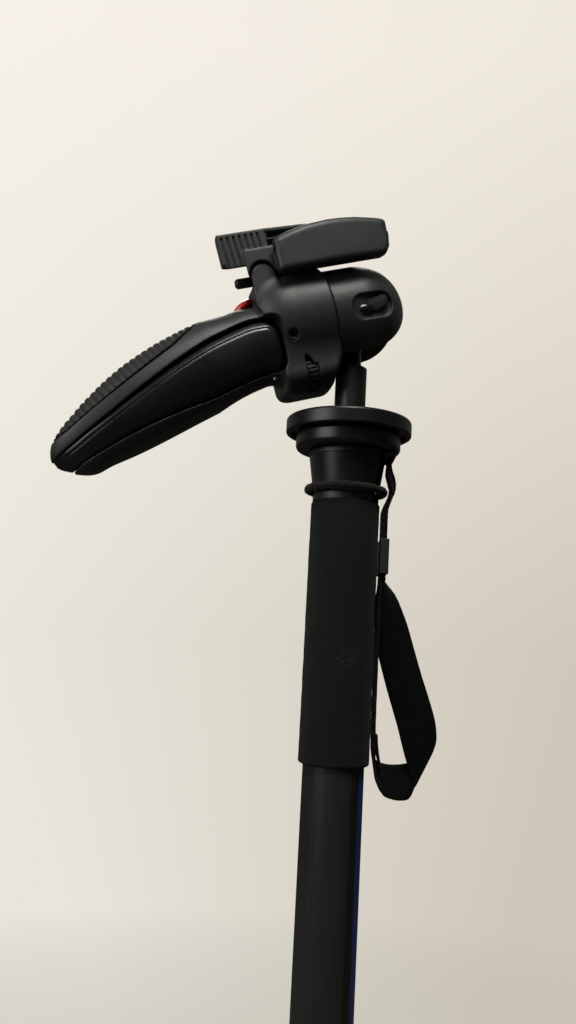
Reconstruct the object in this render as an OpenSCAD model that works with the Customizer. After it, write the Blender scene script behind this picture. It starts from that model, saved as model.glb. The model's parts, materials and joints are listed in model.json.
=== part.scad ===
// Camera monopod with a grip-action ball head, in millimetres.
// The foot stands on z = 0, the leg runs up the Z axis and the handle points to -X.
// The head is drawn in its own frame: ball at the origin, x along the head towards
// the cup, z square to the camera plate.

/* [Leg tubes] */
// Outside diameter of the top tube
tube_d = 28; // [26:0.5:32]
// How much smaller each next tube is in diameter
tube_step = 4; // [3.6:0.1:4.4]
// Wall of every tube
tube_wall = 1.2; // [0.9:0.1:1.4]
// Bare length of the top tube between its lock and the foam grip
tube_visible = 210; // [150:1:320]
// Length of the plastic bushing on each inner tube
bushing_l = 20; // [12:1:30]
// How far each inner tube's top sits below the one around it
tube_stagger = 8; // [4:0.5:14]

/* [Flip locks] */
// Height of the top lock
lock_h = 40; // [36:0.5:48]
// How much lower each next lock is
lock_h_step = 2; // [0:0.5:3]
// Gap between two closed locks
lock_gap = 2; // [1:0.5:5]
// Wall of a lock's collar
lock_wall = 3.6; // [3:0.1:5]
// Thickness of a lock lever
lock_lever_t = 3.4; // [2.6:0.1:4.5]
// Radius of a lock's cross pin
lock_pin_r = 2; // [1.6:0.1:2.4]

/* [Foot] */
// Height of the rubber foot
foot_h = 28; // [22:0.5:40]
// Radius of the rubber foot
foot_r = 11.5; // [10:0.25:14]

/* [Foam grip and neck] */
// Length of the foam grip
grip_l = 120; // [90:1:160]
// Thickness of the foam
grip_t = 2.25; // [1.75:0.25:4]
// Height of the thin collar above the foam
collar_h = 4; // [3:0.25:7]
// Wall of that collar
collar_t = 1.6; // [1:0.1:1.8]
// Height of the bare groove between collar and neck
groove_h = 3.5; // [3:0.1:5]
// Height of the conical neck
neck_h = 13.8; // [10:0.2:20]
// How far the neck's foot stands out from the tube
neck_step = 2.1; // [1.6:0.1:2.4]
// How much wider the neck is at its top
neck_flare = 2; // [1.2:0.1:3]

/* [Platform] */
// Height of the groove that holds the strap's ring
strap_groove_h = 3; // [2.4:0.1:4]
// Depth of that groove
strap_groove_d = 1.1; // [0.8:0.1:1.6]
// Radius of the platform under the head
platform_r = 25; // [22:0.5:28]
// Height of the platform
platform_h = 7.5; // [6:0.25:10]
// Radius of the rounded lower edge of the platform
platform_round = 2.5; // [1:0.25:3.5]
// Radius of the stud between leg and head
stud_r = 4.76; // [3.5:0.01:4.8]

/* [Wrist strap] */
// Thickness of the strap's ring
strap_ring_t = 1.1; // [0.8:0.1:1.6]
// Width of the webbing
web_w = 17.5; // [15:0.5:18.5]
// Thickness of the webbing
web_t = 1.2; // [1:0.1:1.3]
// Direction in which the strap hangs, about the leg
strap_turn = -11; // [-180:1:180]
// Thickness of the fuzzy cord round the groove
cord_d = 3.6; // [3:0.1:3.8]

/* [Head base] */
// Radius of the base disc
disc_r = 30; // [28:0.25:34]
// Height of the base disc
disc_h = 7.4; // [6.4:0.2:10]
// Width of the rim that hangs down round the disc
disc_rim = 2.6; // [2:0.1:4]
// Depth of the recess under the disc
disc_recess = 2; // [1.4:0.1:2.6]
// Height of the ball's centre above the disc
stem_l = 54.6; // [53:0.2:64]
// Radius of the post
post_r = 7.5; // [7:0.1:7.8]
// Radius of the ball
ball_r = 16; // [15:0.1:16.4]
// Radius of the thin neck under the ball
ball_neck_r = 4.5; // [4:0.1:4.8]

/* [Head body] */
// Tilt of the head at rest, handle down
head_tilt = 17.4; // [14:0.1:18]
// Outside radius of the ball cup
cup_r = 23.5; // [22.5:0.1:24]
// How far the cup's outside sits below the ball's centre
cup_drop = 0.9; // [0:0.1:1.2]
// How far the body stands proud of the cup
body_proud = 0.9; // [0.4:0.1:1.6]
// Distance from the ball to the seam between cup and body
seam_x = 16.2; // [15.8:0.1:18]
// Roll of the head to each side
roll_max = 15; // [8:1:17]
// Depth of the chin below the ball
chin_z = 37; // [35:0.2:40]
// Half width of the chin
chin_w = 17; // [14:0.5:19]
// Where the chin ends towards the handle
chin_x = 48; // [46:0.5:50]
// Height of the centre of the chin's rounding
chin_round = 13; // [8:0.5:15]

/* [Handle] */
// Length of the handle from the body to its tip
handle_l = 100; // [85:1:120]
// Greatest half height of the handle
handle_h = 21; // [19:0.25:23]
// Greatest half width of the handle
handle_w = 18; // [16:0.25:20]
// Slope of the handle where it leaves the body
handle_slope = 0.2; // [0.12:0.01:0.3]
// How much the handle bends down along its length
handle_bend = 0.0016; // [0:0.0001:0.0022]
// Gap round the trigger
trigger_gap = 0.8; // [0.5:0.1:1.2]
// Wall of the trigger shell
trigger_wall = 3.2; // [2.4:0.1:4]
// Thickness of the rubber palm pad
pad_t = 2; // [1.4:0.1:2.6]
// Height of the ribs on the palm pad
rib_h = 0.9; // [0.5:0.1:1.2]
// Distance from one rib to the next
rib_pitch = 3; // [2.4:0.1:4]

/* [Plate clamp] */
// Height of the clamp's top above the ball
clamp_z = 42.6; // [41:0.2:46]
// Half width of the clamp
clamp_w = 17; // [16.4:0.2:18]
// Where the clamp ends over the handle
clamp_x0 = -62.5; // [-68:0.5:-58]
// Where the clamp ends over the cup
clamp_x1 = 12; // [10:0.5:18]
// Thickness of the clamp's floor
clamp_floor = 2.9; // [2.2:0.1:4]
// Length of the camera plate
plate_l = 46; // [40:0.5:47]
// Thickness of the camera plate with its pad
plate_h = 4.7; // [4:0.1:6]
// Thickness of the pad on the camera plate
plate_pad_t = 0.9; // [0.6:0.1:1.5]
// Radius of the camera screw, a quarter inch
screw_r = 3.175; // [3:0.005:4.8]
// Length of the camera screw above the plate
screw_l = 4.8; // [4.5:0.1:8]
// Length of the clamp lever
lever_l = 56.6; // [50:0.2:60]
// Height of the clamp lever in its middle
lever_h = 21.6; // [20:0.1:26]
// Thickness of the clamp lever
lever_t = 7.6; // [6.4:0.2:8.4]
// Radius of the safety catch's rod
catch_r = 2.4; // [2:0.1:2.8]

/* [Hidden] */
// Radial running clearance of a shaft in its bore
run = 0.06;
// Clearance between two pieces that pass each other
air = 0.3;
// A cut runs this far past the face it opens
past = 1;
$fn = 64;

// Leg heights, from the foot up
function tube_r(i) = tube_d / 2 - i * tube_step / 2;
function tube_in(i) = tube_r(i) - tube_wall;
function lock_height(k) = lock_h - k * lock_h_step;
function lock_z0(k) = k == 2 ? foot_h + lock_gap : lock_z1(k + 1) + lock_gap;
function lock_z1(k) = lock_z0(k) + lock_height(k);
function lock_r(k) = tube_r(k) + lock_wall;
grip_r = tube_r(0) + grip_t;
collar_r = tube_r(0) + collar_t;
neck_r0 = tube_r(0) + neck_step;
neck_r1 = neck_r0 + neck_flare;
strap_groove_r = neck_r1 - strap_groove_d;
grip_z0 = lock_z1(0) + tube_visible;
grip_z1 = grip_z0 + grip_l;
collar_z1 = grip_z1 + collar_h;
neck_z0 = collar_z1 + groove_h;
neck_z1 = neck_z0 + neck_h;
platform_z0 = neck_z1 + strap_groove_h;
platform_z1 = platform_z0 + platform_h;
disc_z0 = platform_z1 + 0.7;
disc_z1 = disc_z0 + disc_h;
ball_z = disc_z1 + stem_l;
plug_l = 28;
foot_plug_l = 16;
function tube_top(i) = neck_z0 - plug_l - i * tube_stagger;
function tube_foot(i) = i == 3 ? foot_h - foot_plug_l : lock_z0(i) + lock_height(i) / 2;
stud_depth = 16;
stud_reach = 9;
cord_ring_r = neck_r0 + cord_d / 2;

// Ball joint: liner and cup are shells round the ball
liner_in = ball_r + 0.08;
liner_out = ball_r + 1;
cavity_r = liner_out + air;
spigot_in = cavity_r + 0.1;
spigot_out = cup_r - 3.6;
spigot_x = 3.5;
shoe_r = 12.5;
slot_x = -14.6;
shoulder_d = cup_r + cup_drop + 2.3;
shoulder_l = 1.8;
body_r = cup_r + body_proud;

// Handle: the centre line falls along s, the distance from its root
root_x = -55.5;
root_z = -8.5;
tip_power = 4;
tip_round = 0.55;
squareness = 2.4;
tip_min = 1.6;
tip_full = 2.1;
tip_full_l = 6.3;
function handle_x(s) = root_x - s;
function handle_z(s) = root_z - handle_slope * s - handle_bend * s * s;
function handle_lean(s) = atan(handle_slope + 2 * handle_bend * s);
function taper(s) = s <= 0 ? 1 : pow(max(0, 1 - pow(s / handle_l, tip_power)), tip_round);
function tip_chin(s, a) = sin(a) < 0 ? tip_full * exp(-pow((s - 0.895 * handle_l) / tip_full_l, 2)) : 0;
function part_pow(v, e) = sign(v) * pow(abs(v), e);
function handle_point(s, a, grow) =
    let (k = taper(s),
         h = max(tip_min, handle_h * k + grow + tip_chin(s, a)),
         w = max(tip_min, handle_w * k + grow),
         up = h * part_pow(sin(a), 2 / squareness),
         out = w * part_pow(cos(a), 2 / squareness),
         lean = handle_lean(max(0, s)))
    [handle_x(s) - up * sin(lean), out, handle_z(max(s, 0)) + up * cos(lean)];

// Trigger: the share of the handle's near side between two lines along it
trigger_x1 = -43.5;
trigger_s0 = root_x - trigger_x1;
trigger_pivot_x = -48.5;
trigger_pivot_y = -9;
trigger_pin_r = 1.75;
trigger_barrel_r = 3.6;
pocket_floor = 6.5;
// Heights of the trigger's edges above the handle's middle, along the handle
trigger_top = [[-2, 7.5], [20, 6.6], [37, 4.6], [55, 2.4], [72, 0.8], [89, 0.3], [110, 1.2]];
trigger_low = [[-2, -16.2], [28, -16.2], [93, -7.6], [110, -9]];
function trigger_edge(s, heights) =
    let (lean = handle_lean(max(0, s)), up = lookup(100 * s / handle_l, heights))
    [handle_x(s) - up * sin(lean), handle_z(max(s, 0)) + up * cos(lean)];

// Palm pad, along the handle: depth of its ribs under the handle's full form, and height of its lower edge
pad_sink = [[15, 0.3], [37, 0.85], [54, 1.9], [72, 3.05], [82, 2.95], [93, 1.2]];
pad_low = [[20, 18.3], [33, 13.7], [50, 10.9], [68, 8.8], [85, 7.6], [95, 7.6]];
pad_edge = [[-79.5, 5], [-92, -4.1], [-146, -32], [-164, -38.5], [-183, -3.5], [-98.5, 40]];
function pad_depth(s) = lookup(100 * s / handle_l, pad_sink);
function half_h(s, grow) = max(tip_min, handle_h * taper(s) + grow);
function pad_angle(s, grow) =
    asin(min(0.99, pow(lookup(100 * s / handle_l, pad_low) / half_h(s, grow), squareness / 2)));

// Clamp on top of the body
floor_z = clamp_z - plate_h - air;
clamp_bottom = clamp_z - 17;
clamp_round = 2;
horn_x = -44;
horn_z = 20.5;
horn_r = 6;
horn_w = 17.5;
saddle_x0 = -51.5;
saddle_w = 19;
saddle_in = 9.9;
saddle_z0 = 21;
function saddle_left(y) = saddle_x0 + saddle_in * (y + saddle_w) / (2 * saddle_w);
plate_x1 = clamp_x1 - 3;
plate_x0 = plate_x1 - plate_l;
plate_w = clamp_w - 3;
lever_r = lever_t / 2;
lever_x = -35;
lever_y = -saddle_w - 0.6 - lever_r;
lever_z0 = 17.4;
lever_pin_r = 1.25;
knuckle_r = 2.1;
knuckle_z0 = 21;
knuckle_z1 = 29;
catch_y = -6;
catch_z = 22.2;
catch_x0 = -54.8;
catch_x1 = -36;

// Small pieces in the body
set_x = -38;
set_z = -11;
set_r = 2.3;
wheel_x = -31.5;
wheel_z = -27;
wheel_y = -8;
wheel_r = 8.2;
wheel_t = 5;
axle_r = 1.5;
rod_r = 3;
badge_x = -53.5;
badge_z = 13.6;
badge_lean = 17;

// Shared shapes

// Places the head's own frame on the stem
module in_head() {
    translate([0, 0, ball_z]) rotate([0, -head_tilt, 0]) children();
}

// Cylinder along x
module rod_x(x0, x1, r, y = 0, z = 0) {
    translate([x0, y, z]) rotate([0, 90, 0]) cylinder(h = x1 - x0, r = r);
}

// Cylinder along y
module rod_y(y0, y1, r, x = 0, z = 0) {
    translate([x, y1, z]) rotate([90, 0, 0]) cylinder(h = y1 - y0, r = r);
}

// Outline in x and z, drawn out along y
module side_form(y0, y1) {
    translate([0, y1, 0]) rotate([90, 0, 0]) linear_extrude(y1 - y0) children();
}

// Profile of [distance along x, radius] turned about the x axis
module turned_x(profile) {
    rotate([0, 90, 0]) rotate_extrude() polygon([for (p = profile) [p[1], p[0]]]);
}

// Box from its low corner to its high corner
module box(low, high) {
    translate(low) cube(high - low);
}

// Points of a rounded corner
function arc(c, r, a0, a1, n = 6) = [for (i = [0 : n]) c + r * [cos(a0 + (a1 - a0) * i / n),
    sin(a0 + (a1 - a0) * i / n)]];

// Leg

module tube(i) {
    difference() {
        translate([0, 0, tube_foot(i)]) cylinder(h = (i == 0 ? neck_z0 : tube_top(i)) - tube_foot(i), r = tube_r(i));
        translate([0, 0, tube_foot(i) - past])
            cylinder(h = neck_z0 - tube_foot(i) + 2 * past, r = tube_in(i));
    }
}

module upper_tube() color("#25262a") tube(0);
module tube_2() color("#25262a") tube(1);
module tube_3() color("#25262a") tube(2);
module tube_4() color("#25262a") tube(3);

// Plastic ring on top of an inner tube that runs in the tube around it
module bushing(i) {
    z0 = tube_top(i) - bushing_l;
    color("#1b1b1c") difference() {
        translate([0, 0, z0]) cylinder(h = bushing_l, r = tube_in(i - 1) - run);
        translate([0, 0, z0 - past]) cylinder(h = bushing_l + 2 * past, r = tube_r(i));
    }
}

module bushing_2() bushing(1);
module bushing_3() bushing(2);
module bushing_4() bushing(3);

// Flip locks
ear_t = 6;
ear_slit = 1.6;
ear_l = 11;
eye_r = 4.2;
bolt_r = 2;
bolt_head_r = 3.6;
bolt_head_h = 2.6;
lever_arc = 118;
function eye_x(k) = tube_r(k) + 7;
function eye_y() = -ear_slit / 2 - ear_t - air - eye_r;
function ear_z0(k) = lock_z0(k) + 4;
function ear_z1(k) = lock_z1(k) - 12;
function bolt_z(k) = (ear_z0(k) + ear_z1(k)) / 2;

module lock_collar(k) {
    r = tube_r(k);
    color("#161617") difference() {
        union() {
            translate([0, 0, lock_z0(k)]) cylinder(h = lock_height(k), r = lock_r(k));
            box([r, -ear_slit / 2 - ear_t, ear_z0(k)], [r + ear_l, ear_slit / 2 + ear_t, ear_z1(k)]);
        }
        translate([0, 0, lock_z0(k) - past]) cylinder(h = lock_height(k), r = tube_r(k + 1) + run);
        translate([0, 0, lock_z0(k) + lock_height(k) / 2]) cylinder(h = lock_height(k), r = r);
        box([0, -ear_slit / 2, lock_z0(k) - past], [r + ear_l + past, ear_slit / 2, ear_z1(k) + past]);
        rod_y(-ear_t - ear_slit, ear_t + ear_slit, bolt_r, eye_x(k), bolt_z(k));
    }
}

module lock_lever(k) {
    inside = lock_r(k) + 0.6;
    start = atan2(eye_y(), eye_x(k));
    tip = start - lever_arc;
    far = 2 * inside;
    h = ear_z1(k) - ear_z0(k);
    color("#1d1d1f") difference() {
        union() {
            translate([eye_x(k), eye_y(), ear_z0(k)]) cylinder(h = h, r = eye_r);
            intersection() {
                translate([0, 0, ear_z0(k)]) difference() {
                    cylinder(h = h, r = inside + lock_lever_t);
                    translate([0, 0, -past]) cylinder(h = h + 2 * past, r = inside);
                }
                translate([0, 0, ear_z0(k) - past]) linear_extrude(h + 2 * past)
                    polygon(concat([[0, 0]], [for (i = [0 : 4]) far * [cos(start - lever_arc * i / 4),
                        sin(start - lever_arc * i / 4)]]));
            }
            rotate([0, 0, tip]) box([inside + 0.5, -1.6, ear_z0(k) + 1], [inside + lock_lever_t + 1.8, 2.2, ear_z1(k) - 1]);
        }
        translate([eye_x(k), eye_y(), ear_z0(k) - past]) cylinder(h = h + 2 * past, r = lock_pin_r + run);
        box([eye_x(k) - eye_r - 2, eye_y() - eye_r - past, bolt_z(k) - bolt_r - 0.6],
            [eye_x(k) + eye_r + past, eye_y() + eye_r + past, bolt_z(k) + bolt_r + 0.6]);
    }
}

module lock_pin(k) {
    color("#b9b9bd") difference() {
        translate([eye_x(k), eye_y(), ear_z0(k) + 0.5]) cylinder(h = ear_z1(k) - ear_z0(k) - 1, r = lock_pin_r);
        rod_y(eye_y() - past, eye_y() + lock_pin_r + past, bolt_r * 0.6, eye_x(k), bolt_z(k));
    }
}

module lock_bolt(k) {
    color("#b9b9bd") {
        rod_y(eye_y() + lock_pin_r, ear_slit / 2 + ear_t, bolt_r, eye_x(k), bolt_z(k));
        rod_y(eye_y(), eye_y() + lock_pin_r + past, bolt_r * 0.6, eye_x(k), bolt_z(k));
        difference() {
            rod_y(ear_slit / 2 + ear_t, ear_slit / 2 + ear_t + bolt_head_h, bolt_head_r, eye_x(k), bolt_z(k));
            translate([eye_x(k), ear_slit / 2 + ear_t + bolt_head_h + past, bolt_z(k)]) rotate([90, 0, 0])
                cylinder(h = past + 1.4, r = 1.8, $fn = 6);
        }
    }
}

module lock1_collar() lock_collar(0);
module lock1_lever() lock_lever(0);
module lock1_pin() lock_pin(0);
module lock1_bolt() lock_bolt(0);
module lock2_collar() lock_collar(1);
module lock2_lever() lock_lever(1);
module lock2_pin() lock_pin(1);
module lock2_bolt() lock_bolt(1);
module lock3_collar() lock_collar(2);
module lock3_lever() lock_lever(2);
module lock3_pin() lock_pin(2);
module lock3_bolt() lock_bolt(2);

// Foot
foot_cap_h = 3;

module foot_plug() {
    z0 = tube_foot(3);
    color("#303032") {
        translate([0, 0, z0]) cylinder(h = foot_plug_l + 10, r = tube_in(3));
        translate([0, 0, z0 - foot_cap_h]) cylinder(h = foot_cap_h, r = tube_r(3));
    }
}

module rubber_foot() {
    z0 = tube_foot(3) - foot_cap_h;
    round_r = 3;
    color("#0f0f10") difference() {
        rotate_extrude() polygon(concat([[0, 0], [foot_r - round_r - 1, 0]],
            arc([foot_r - round_r, round_r], round_r, -70, 0),
            [[foot_r, foot_h - 6], [tube_r(3) + 1.4, foot_h], [0, foot_h]]));
        translate([0, 0, z0]) cylinder(h = foot_h, r = tube_r(3));
    }
}

// Foam grip, collar, neck and platform

module foam_grip() {
    soft = 1.6;
    color("#1c211f") rotate_extrude() polygon(concat(
        [[tube_r(0), grip_z0], [tube_r(0), grip_z1]],
        arc([grip_r - soft, grip_z1 - soft], soft, 90, 0),
        arc([grip_r - soft, grip_z0 + soft], soft, 0, -90)));
}

module grip_collar() {
    edge = 0.5;
    color("#141415") rotate_extrude() polygon([[tube_r(0), grip_z1], [collar_r, grip_z1],
        [collar_r, collar_z1 - edge], [collar_r - edge, collar_z1], [tube_r(0), collar_z1]]);
}

module top_platform() {
    color("#111113") difference() {
        rotate_extrude() polygon(concat(
            [[0, neck_z0 - plug_l], [tube_in(0), neck_z0 - plug_l], [tube_in(0), neck_z0], [neck_r0, neck_z0],
             [neck_r1, neck_z1], [strap_groove_r, neck_z1], [strap_groove_r, platform_z0]],
            arc([platform_r - platform_round, platform_z0 + platform_round], platform_round, -90, 0),
            [[platform_r, platform_z1 - 0.5], [platform_r - 0.5, platform_z1], [0, platform_z1]]));
        translate([0, 0, platform_z1 - stud_depth]) cylinder(h = stud_depth + past, r = stud_r);
    }
}

module platform_pad() {
    color("#1a1a1a") difference() {
        translate([0, 0, platform_z1])
            cylinder(h = disc_z0 + disc_recess - air - platform_z1, r = platform_r - 1.2);
        translate([0, 0, platform_z1 - past]) cylinder(h = 6, r = stud_r + 4);
    }
}

module mounting_stud() {
    color("#a8a8ac") translate([0, 0, platform_z1 - stud_depth])
        cylinder(h = stud_depth + disc_z0 + stud_reach - platform_z1, r = stud_r);
}

// Wrist strap: a ring round the neck, a tab, a doubled band, a slider and a hand loop

module in_strap() {
    rotate([0, 0, strap_turn]) children();
}

// Stations of the strap: [out from the foam, sideways, drop below the disc], then its width as a direction
function spline(p, i, t) =
    let (n = len(p) - 1, a = p[max(i - 1, 0)], b = p[i], c = p[min(i + 1, n)], d = p[min(i + 2, n)])
    0.5 * (2 * b + (c - a) * t + (2 * a - 5 * b + 4 * c - d) * t * t + (3 * b - 3 * c + d - a) * t * t * t);
function smooth(p, steps) = [for (i = [0 : len(p) - 2], k = [0 : steps - 1]) spline(p, i, k / steps),
    p[len(p) - 1]];
function place(v) = [grip_r + v[0], v[1], disc_z1 - v[2]];
function unit(v) = v / norm(v);

// Flat band through such stations, as one closed solid
module strip(p, w, t) {
    n = len(p) - 1;
    corners = [for (i = [0 : n])
        let (mid = place([p[i][0], p[i][1], p[i][2]]),
             half = unit([p[i][3], p[i][4], -p[i][5]]) * w / 2,
             q0 = p[max(i - 1, 0)], q1 = p[min(i + 1, n)],
             along = place(q1) - place(q0),
             thick = unit(cross(half, along)) * t / 2)
        for (c = [[1, 1], [-1, 1], [-1, -1], [1, -1]]) mid + half * c[0] + thick * c[1]];
    walls = [for (i = [0 : n - 1], k = [0 : 3]) let (a = 4 * i + k, b = 4 * i + (k + 1) % 4)
        for (f = [[a, b, a + 4], [b, b + 4, a + 4]]) f];
    ends = [[0, 2, 1], [0, 3, 2], [4 * n, 4 * n + 1, 4 * n + 2], [4 * n, 4 * n + 2, 4 * n + 3]];
    polyhedron(points = corners, faces = [for (f = concat(walls, ends)) f], convexity = 6);
}

strap_mid = platform_z0 - strap_groove_h / 2;
ring_in = strap_groove_r + run;
tab_r = neck_r1 + 1.9;
band_t = 2 * web_t;
slider_wall = 0.7;
slack = 0.1;
foam_air = 0.35;
slider_r = grip_r + foam_air + slider_wall + slack + band_t / 2;
tongue = disc_z1 - strap_mid;
tab_out = tab_r - grip_r;
slider_out = slider_r - grip_r;
inner_out = foam_air + web_t / 2;
cord_out = cord_ring_r + cord_d / 2 + air + band_t / 2 - grip_r;
band_path = [for (q = [[tab_out, -0.6, 0], [tab_out, 1.6, 0.03], [tab_out + 0.9, 9, 0.3], [cord_out + 0.4, 14.5, 0.22],
    [cord_out, 18.5, 0.05], [slider_out + 0.3, 25, 0], [slider_out, 30, 0], [slider_out, 36, 0], [slider_out, 45, 0],
    [slider_out, 53, 0], [slider_out, 59, 0]]) [q[0], 0, tongue + q[1], q[2], 1, 0]];
// The loop's outer leg turns face on and ends in a slanting fold, and the rest comes back up along the grip
leg_path = [[slider_out + web_t / 2, 0, 74, 0, 1, 0], [slider_out + 1.2, 0, 80, 0.17, 0.985, 0],
    [4.55, 0, 88, 0.5, 0.866, 0], [6.65, 0, 97, 0.72, 0.69, -0.12], [8.85, -0.3, 107, 0.93, 0.26, -0.26],
    [13.45, -0.5, 121, 0.939, 0.1, -0.344], [16.95, -0.5, 130.5, 0.939, 0, -0.344],
    [20.05, -0.5, 139, 0.93, 0, -0.37], [22.95, -0.5, 150, 0.75, 0, -0.66], [24.35, -0.5, 158, 0.431, 0, -0.902]];
back_path = [[24.35, 0.5, 158, 0.431, 0, -0.902], [20.75, 0.6, 162, 0.25, 0.1, -0.96],
    [16.25, 0.8, 164.5, 0.1, 0.3, -0.95], [10.75, 1, 165.5, 0, 0.53, -0.85], [6.25, 1, 163.5, -0.05, 0.78, -0.62],
    [3.15, 0.8, 158.5, 0, 0.96, -0.28], [inner_out + 0.4, 0.4, 150, 0, 1, 0], [inner_out, 0, 138, 0, 1, 0],
    [inner_out, 0, 120, 0, 1, 0], [inner_out, 0, 100, 0, 1, 0], [inner_out + 0.2, 0, 84, 0, 1, 0],
    [slider_out - web_t / 2, 0, 74, 0, 1, 0]];
// Turned-over end that is sewn on beside the foam
end_path = [[inner_out + web_t - 0.1, 0, 145.5, 0, 1, 0], [inner_out + web_t + 0.25, 0.4, 150, 0, 1, 0],
    [inner_out + web_t + 1.2, 0.6, 155, 0, 0.99, -0.12], [inner_out + web_t + 2.2, 0.7, 158, 0, 0.97, -0.24]];
slider_z0 = 73;
slider_z1 = 57;

module strap_ring() {
    h = strap_groove_h - 0.6;
    color("#0d0d0e") in_strap() difference() {
        union() {
            translate([0, 0, strap_mid - h / 2]) cylinder(h = h, r = ring_in + strap_ring_t);
            box([ring_in, -web_w / 2 - 1.5, strap_mid - h / 2], [tab_r + band_t / 2 + 1, web_w / 2 + 1.5, strap_mid + h / 2]);
        }
        translate([0, 0, strap_mid - h]) cylinder(h = 2 * h, r = ring_in);
        box([tab_r - band_t / 2 - 0.1, -web_w / 2 - 0.1, strap_mid - h], [tab_r + band_t / 2 + 0.1, web_w / 2 + 0.1, strap_mid + h]);
    }
}

module wrist_strap() {
    color("#0b0b0c") in_strap() {
        strip(smooth(band_path, 3), web_w, band_t);
        strip(smooth(leg_path, 3), web_w, web_t);
        strip(smooth(back_path, 3), web_w, web_t);
        strip(smooth(end_path, 2), web_w, web_t);
    }
}

module strap_slider() {
    wall = slider_wall;
    mid = slider_r;
    low = [mid - band_t / 2 - wall, -web_w / 2 - 2, disc_z1 - slider_z0];
    high = [mid + band_t / 2 + wall, web_w / 2 + 2, disc_z1 - slider_z1];
    color("#0e0e0f") in_strap() difference() {
        box(low, high);
        box([mid - band_t / 2 - slack, -web_w / 2 - slack, low[2] - past],
            [mid + band_t / 2 + slack, web_w / 2 + slack, high[2] + past]);
    }
}

module cord_ring() {
    h = groove_h - 2 * 0.25;
    color("#080808") translate([0, 0, neck_z0 - groove_h / 2]) rotate_extrude() union() {
        translate([cord_ring_r, 0]) circle(d = cord_d, $fn = 24);
        translate([tube_r(0), -h / 2]) square([cord_ring_r - tube_r(0), h]);
    }
}

// Head base and ball

module base_disc() {
    edge = 1.6;
    color("#121214") difference() {
        rotate_extrude() polygon(concat(
            [[stud_r + 1.4, disc_z0 + disc_recess], [disc_r - disc_rim, disc_z0 + disc_recess],
             [disc_r - disc_rim, disc_z0]],
            arc([disc_r - 0.8, disc_z0 + 0.8], 0.8, -90, 0),
            arc([disc_r - edge, disc_z1 - edge], edge, 0, 90),
            [[stud_r + 1.4, disc_z1]]));
    }
}

module ball_stem() {
    z0 = disc_z0 + disc_recess;
    color("#19191b") difference() {
        union() {
            rotate_extrude() polygon([[0, z0], [stud_r + 1.4, z0], [stud_r + 1.4, disc_z1], [post_r, disc_z1],
                [post_r, ball_z - shoulder_d - shoulder_l], [ball_neck_r, ball_z - shoulder_d],
                [ball_neck_r, ball_z], [0, ball_z]]);
            translate([0, 0, ball_z]) sphere(r = ball_r);
        }
        translate([0, 0, z0 - past]) cylinder(h = stud_reach + past, r = stud_r + run);
    }
}

// Way of the thin neck through liner and cup: down at rest, to the cup's end when tipped over
module neck_way(spread) {
    half = (ball_neck_r + 0.4) / cos(spread);
    reach = cup_r + 16;
    translate([slot_x, 0, 0]) rotate([90, 0, 90]) linear_extrude(reach - slot_x)
        polygon([[-half, ball_neck_r + 0.4], [half, ball_neck_r + 0.4], [half, 0],
            [half + reach * tan(spread), -reach], [-half - reach * tan(spread), -reach], [-half, 0]]);
}

module ball_liner() {
    color("#d8d8d2") in_head() difference() {
        sphere(r = liner_out);
        sphere(r = liner_in);
        box([-60, -60, -60], [-5, 60, 60]);
        neck_way(0);
    }
}

pocket_angle = 8;
cup_screw_r = 1.6;
cup_screw_head_r = 4.2;
pocket_lean = 13;

// Oval dish in the cup's side with a screw in its lower corner
module screw_pocket() {
    rotate([pocket_angle, 0, 0]) translate([3, -spigot_out + 0.4, 0]) rotate([0, 0, pocket_lean])
        rotate([90, 0, 0]) {
            translate([-4.5, 0, 1.2]) cylinder(h = 12, r = 5.6);
            translate([5, 0, 1.2]) cylinder(h = 12, r = 5.6);
            translate([-4.5, -5.6, 1.2]) cube([9.5, 11.2, 12]);
        }
}

module at_screw(side) {
    mirror([0, side, 0]) rotate([pocket_angle, 0, 0]) translate([0.8, 0, -1.2]) rotate([90, 0, 0]) children();
}

module ball_cup() {
    color("#17181a") in_head() difference() {
        union() {
            intersection() {
                translate([0, 0, -cup_drop]) sphere(r = cup_r);
                box([0, -40, -40], [40, 40, 40]);
            }
            rod_x(-seam_x, 0, cup_r, 0, -cup_drop);
        }
        sphere(r = cavity_r);
        rod_x(-seam_x - past, spigot_x + 0.2, spigot_out);
        neck_way(roll_max);
        for (side = [0, 1]) {
            mirror([0, side, 0]) screw_pocket();
            at_screw(side) translate([0, 0, spigot_in + 0.4]) cylinder(h = 10, r = cup_screw_r);
            at_screw(side) translate([0, 0, spigot_out + 1.7]) cylinder(h = 10, r = cup_screw_head_r + 0.1);
        }
    }
}

module cup_screws() {
    color("#8d8d90") in_head() for (side = [0, 1]) at_screw(side) {
        translate([0, 0, spigot_in + 0.4]) cylinder(h = spigot_out + 1.8 - spigot_in, r = cup_screw_r);
        difference() {
            translate([0, 0, spigot_out + 1.7]) {
                cylinder(h = 0.9, r1 = cup_screw_head_r, r2 = cup_screw_head_r - 0.3);
                translate([0, 0, 0.9]) cylinder(h = 0.9, r1 = cup_screw_head_r - 0.3, r2 = cup_screw_head_r - 1.6);
            }
            translate([0, 0, spigot_out + 2.6]) cylinder(h = 2, r = 1.25, $fn = 6);
        }
    }
}

// Grip body

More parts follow.
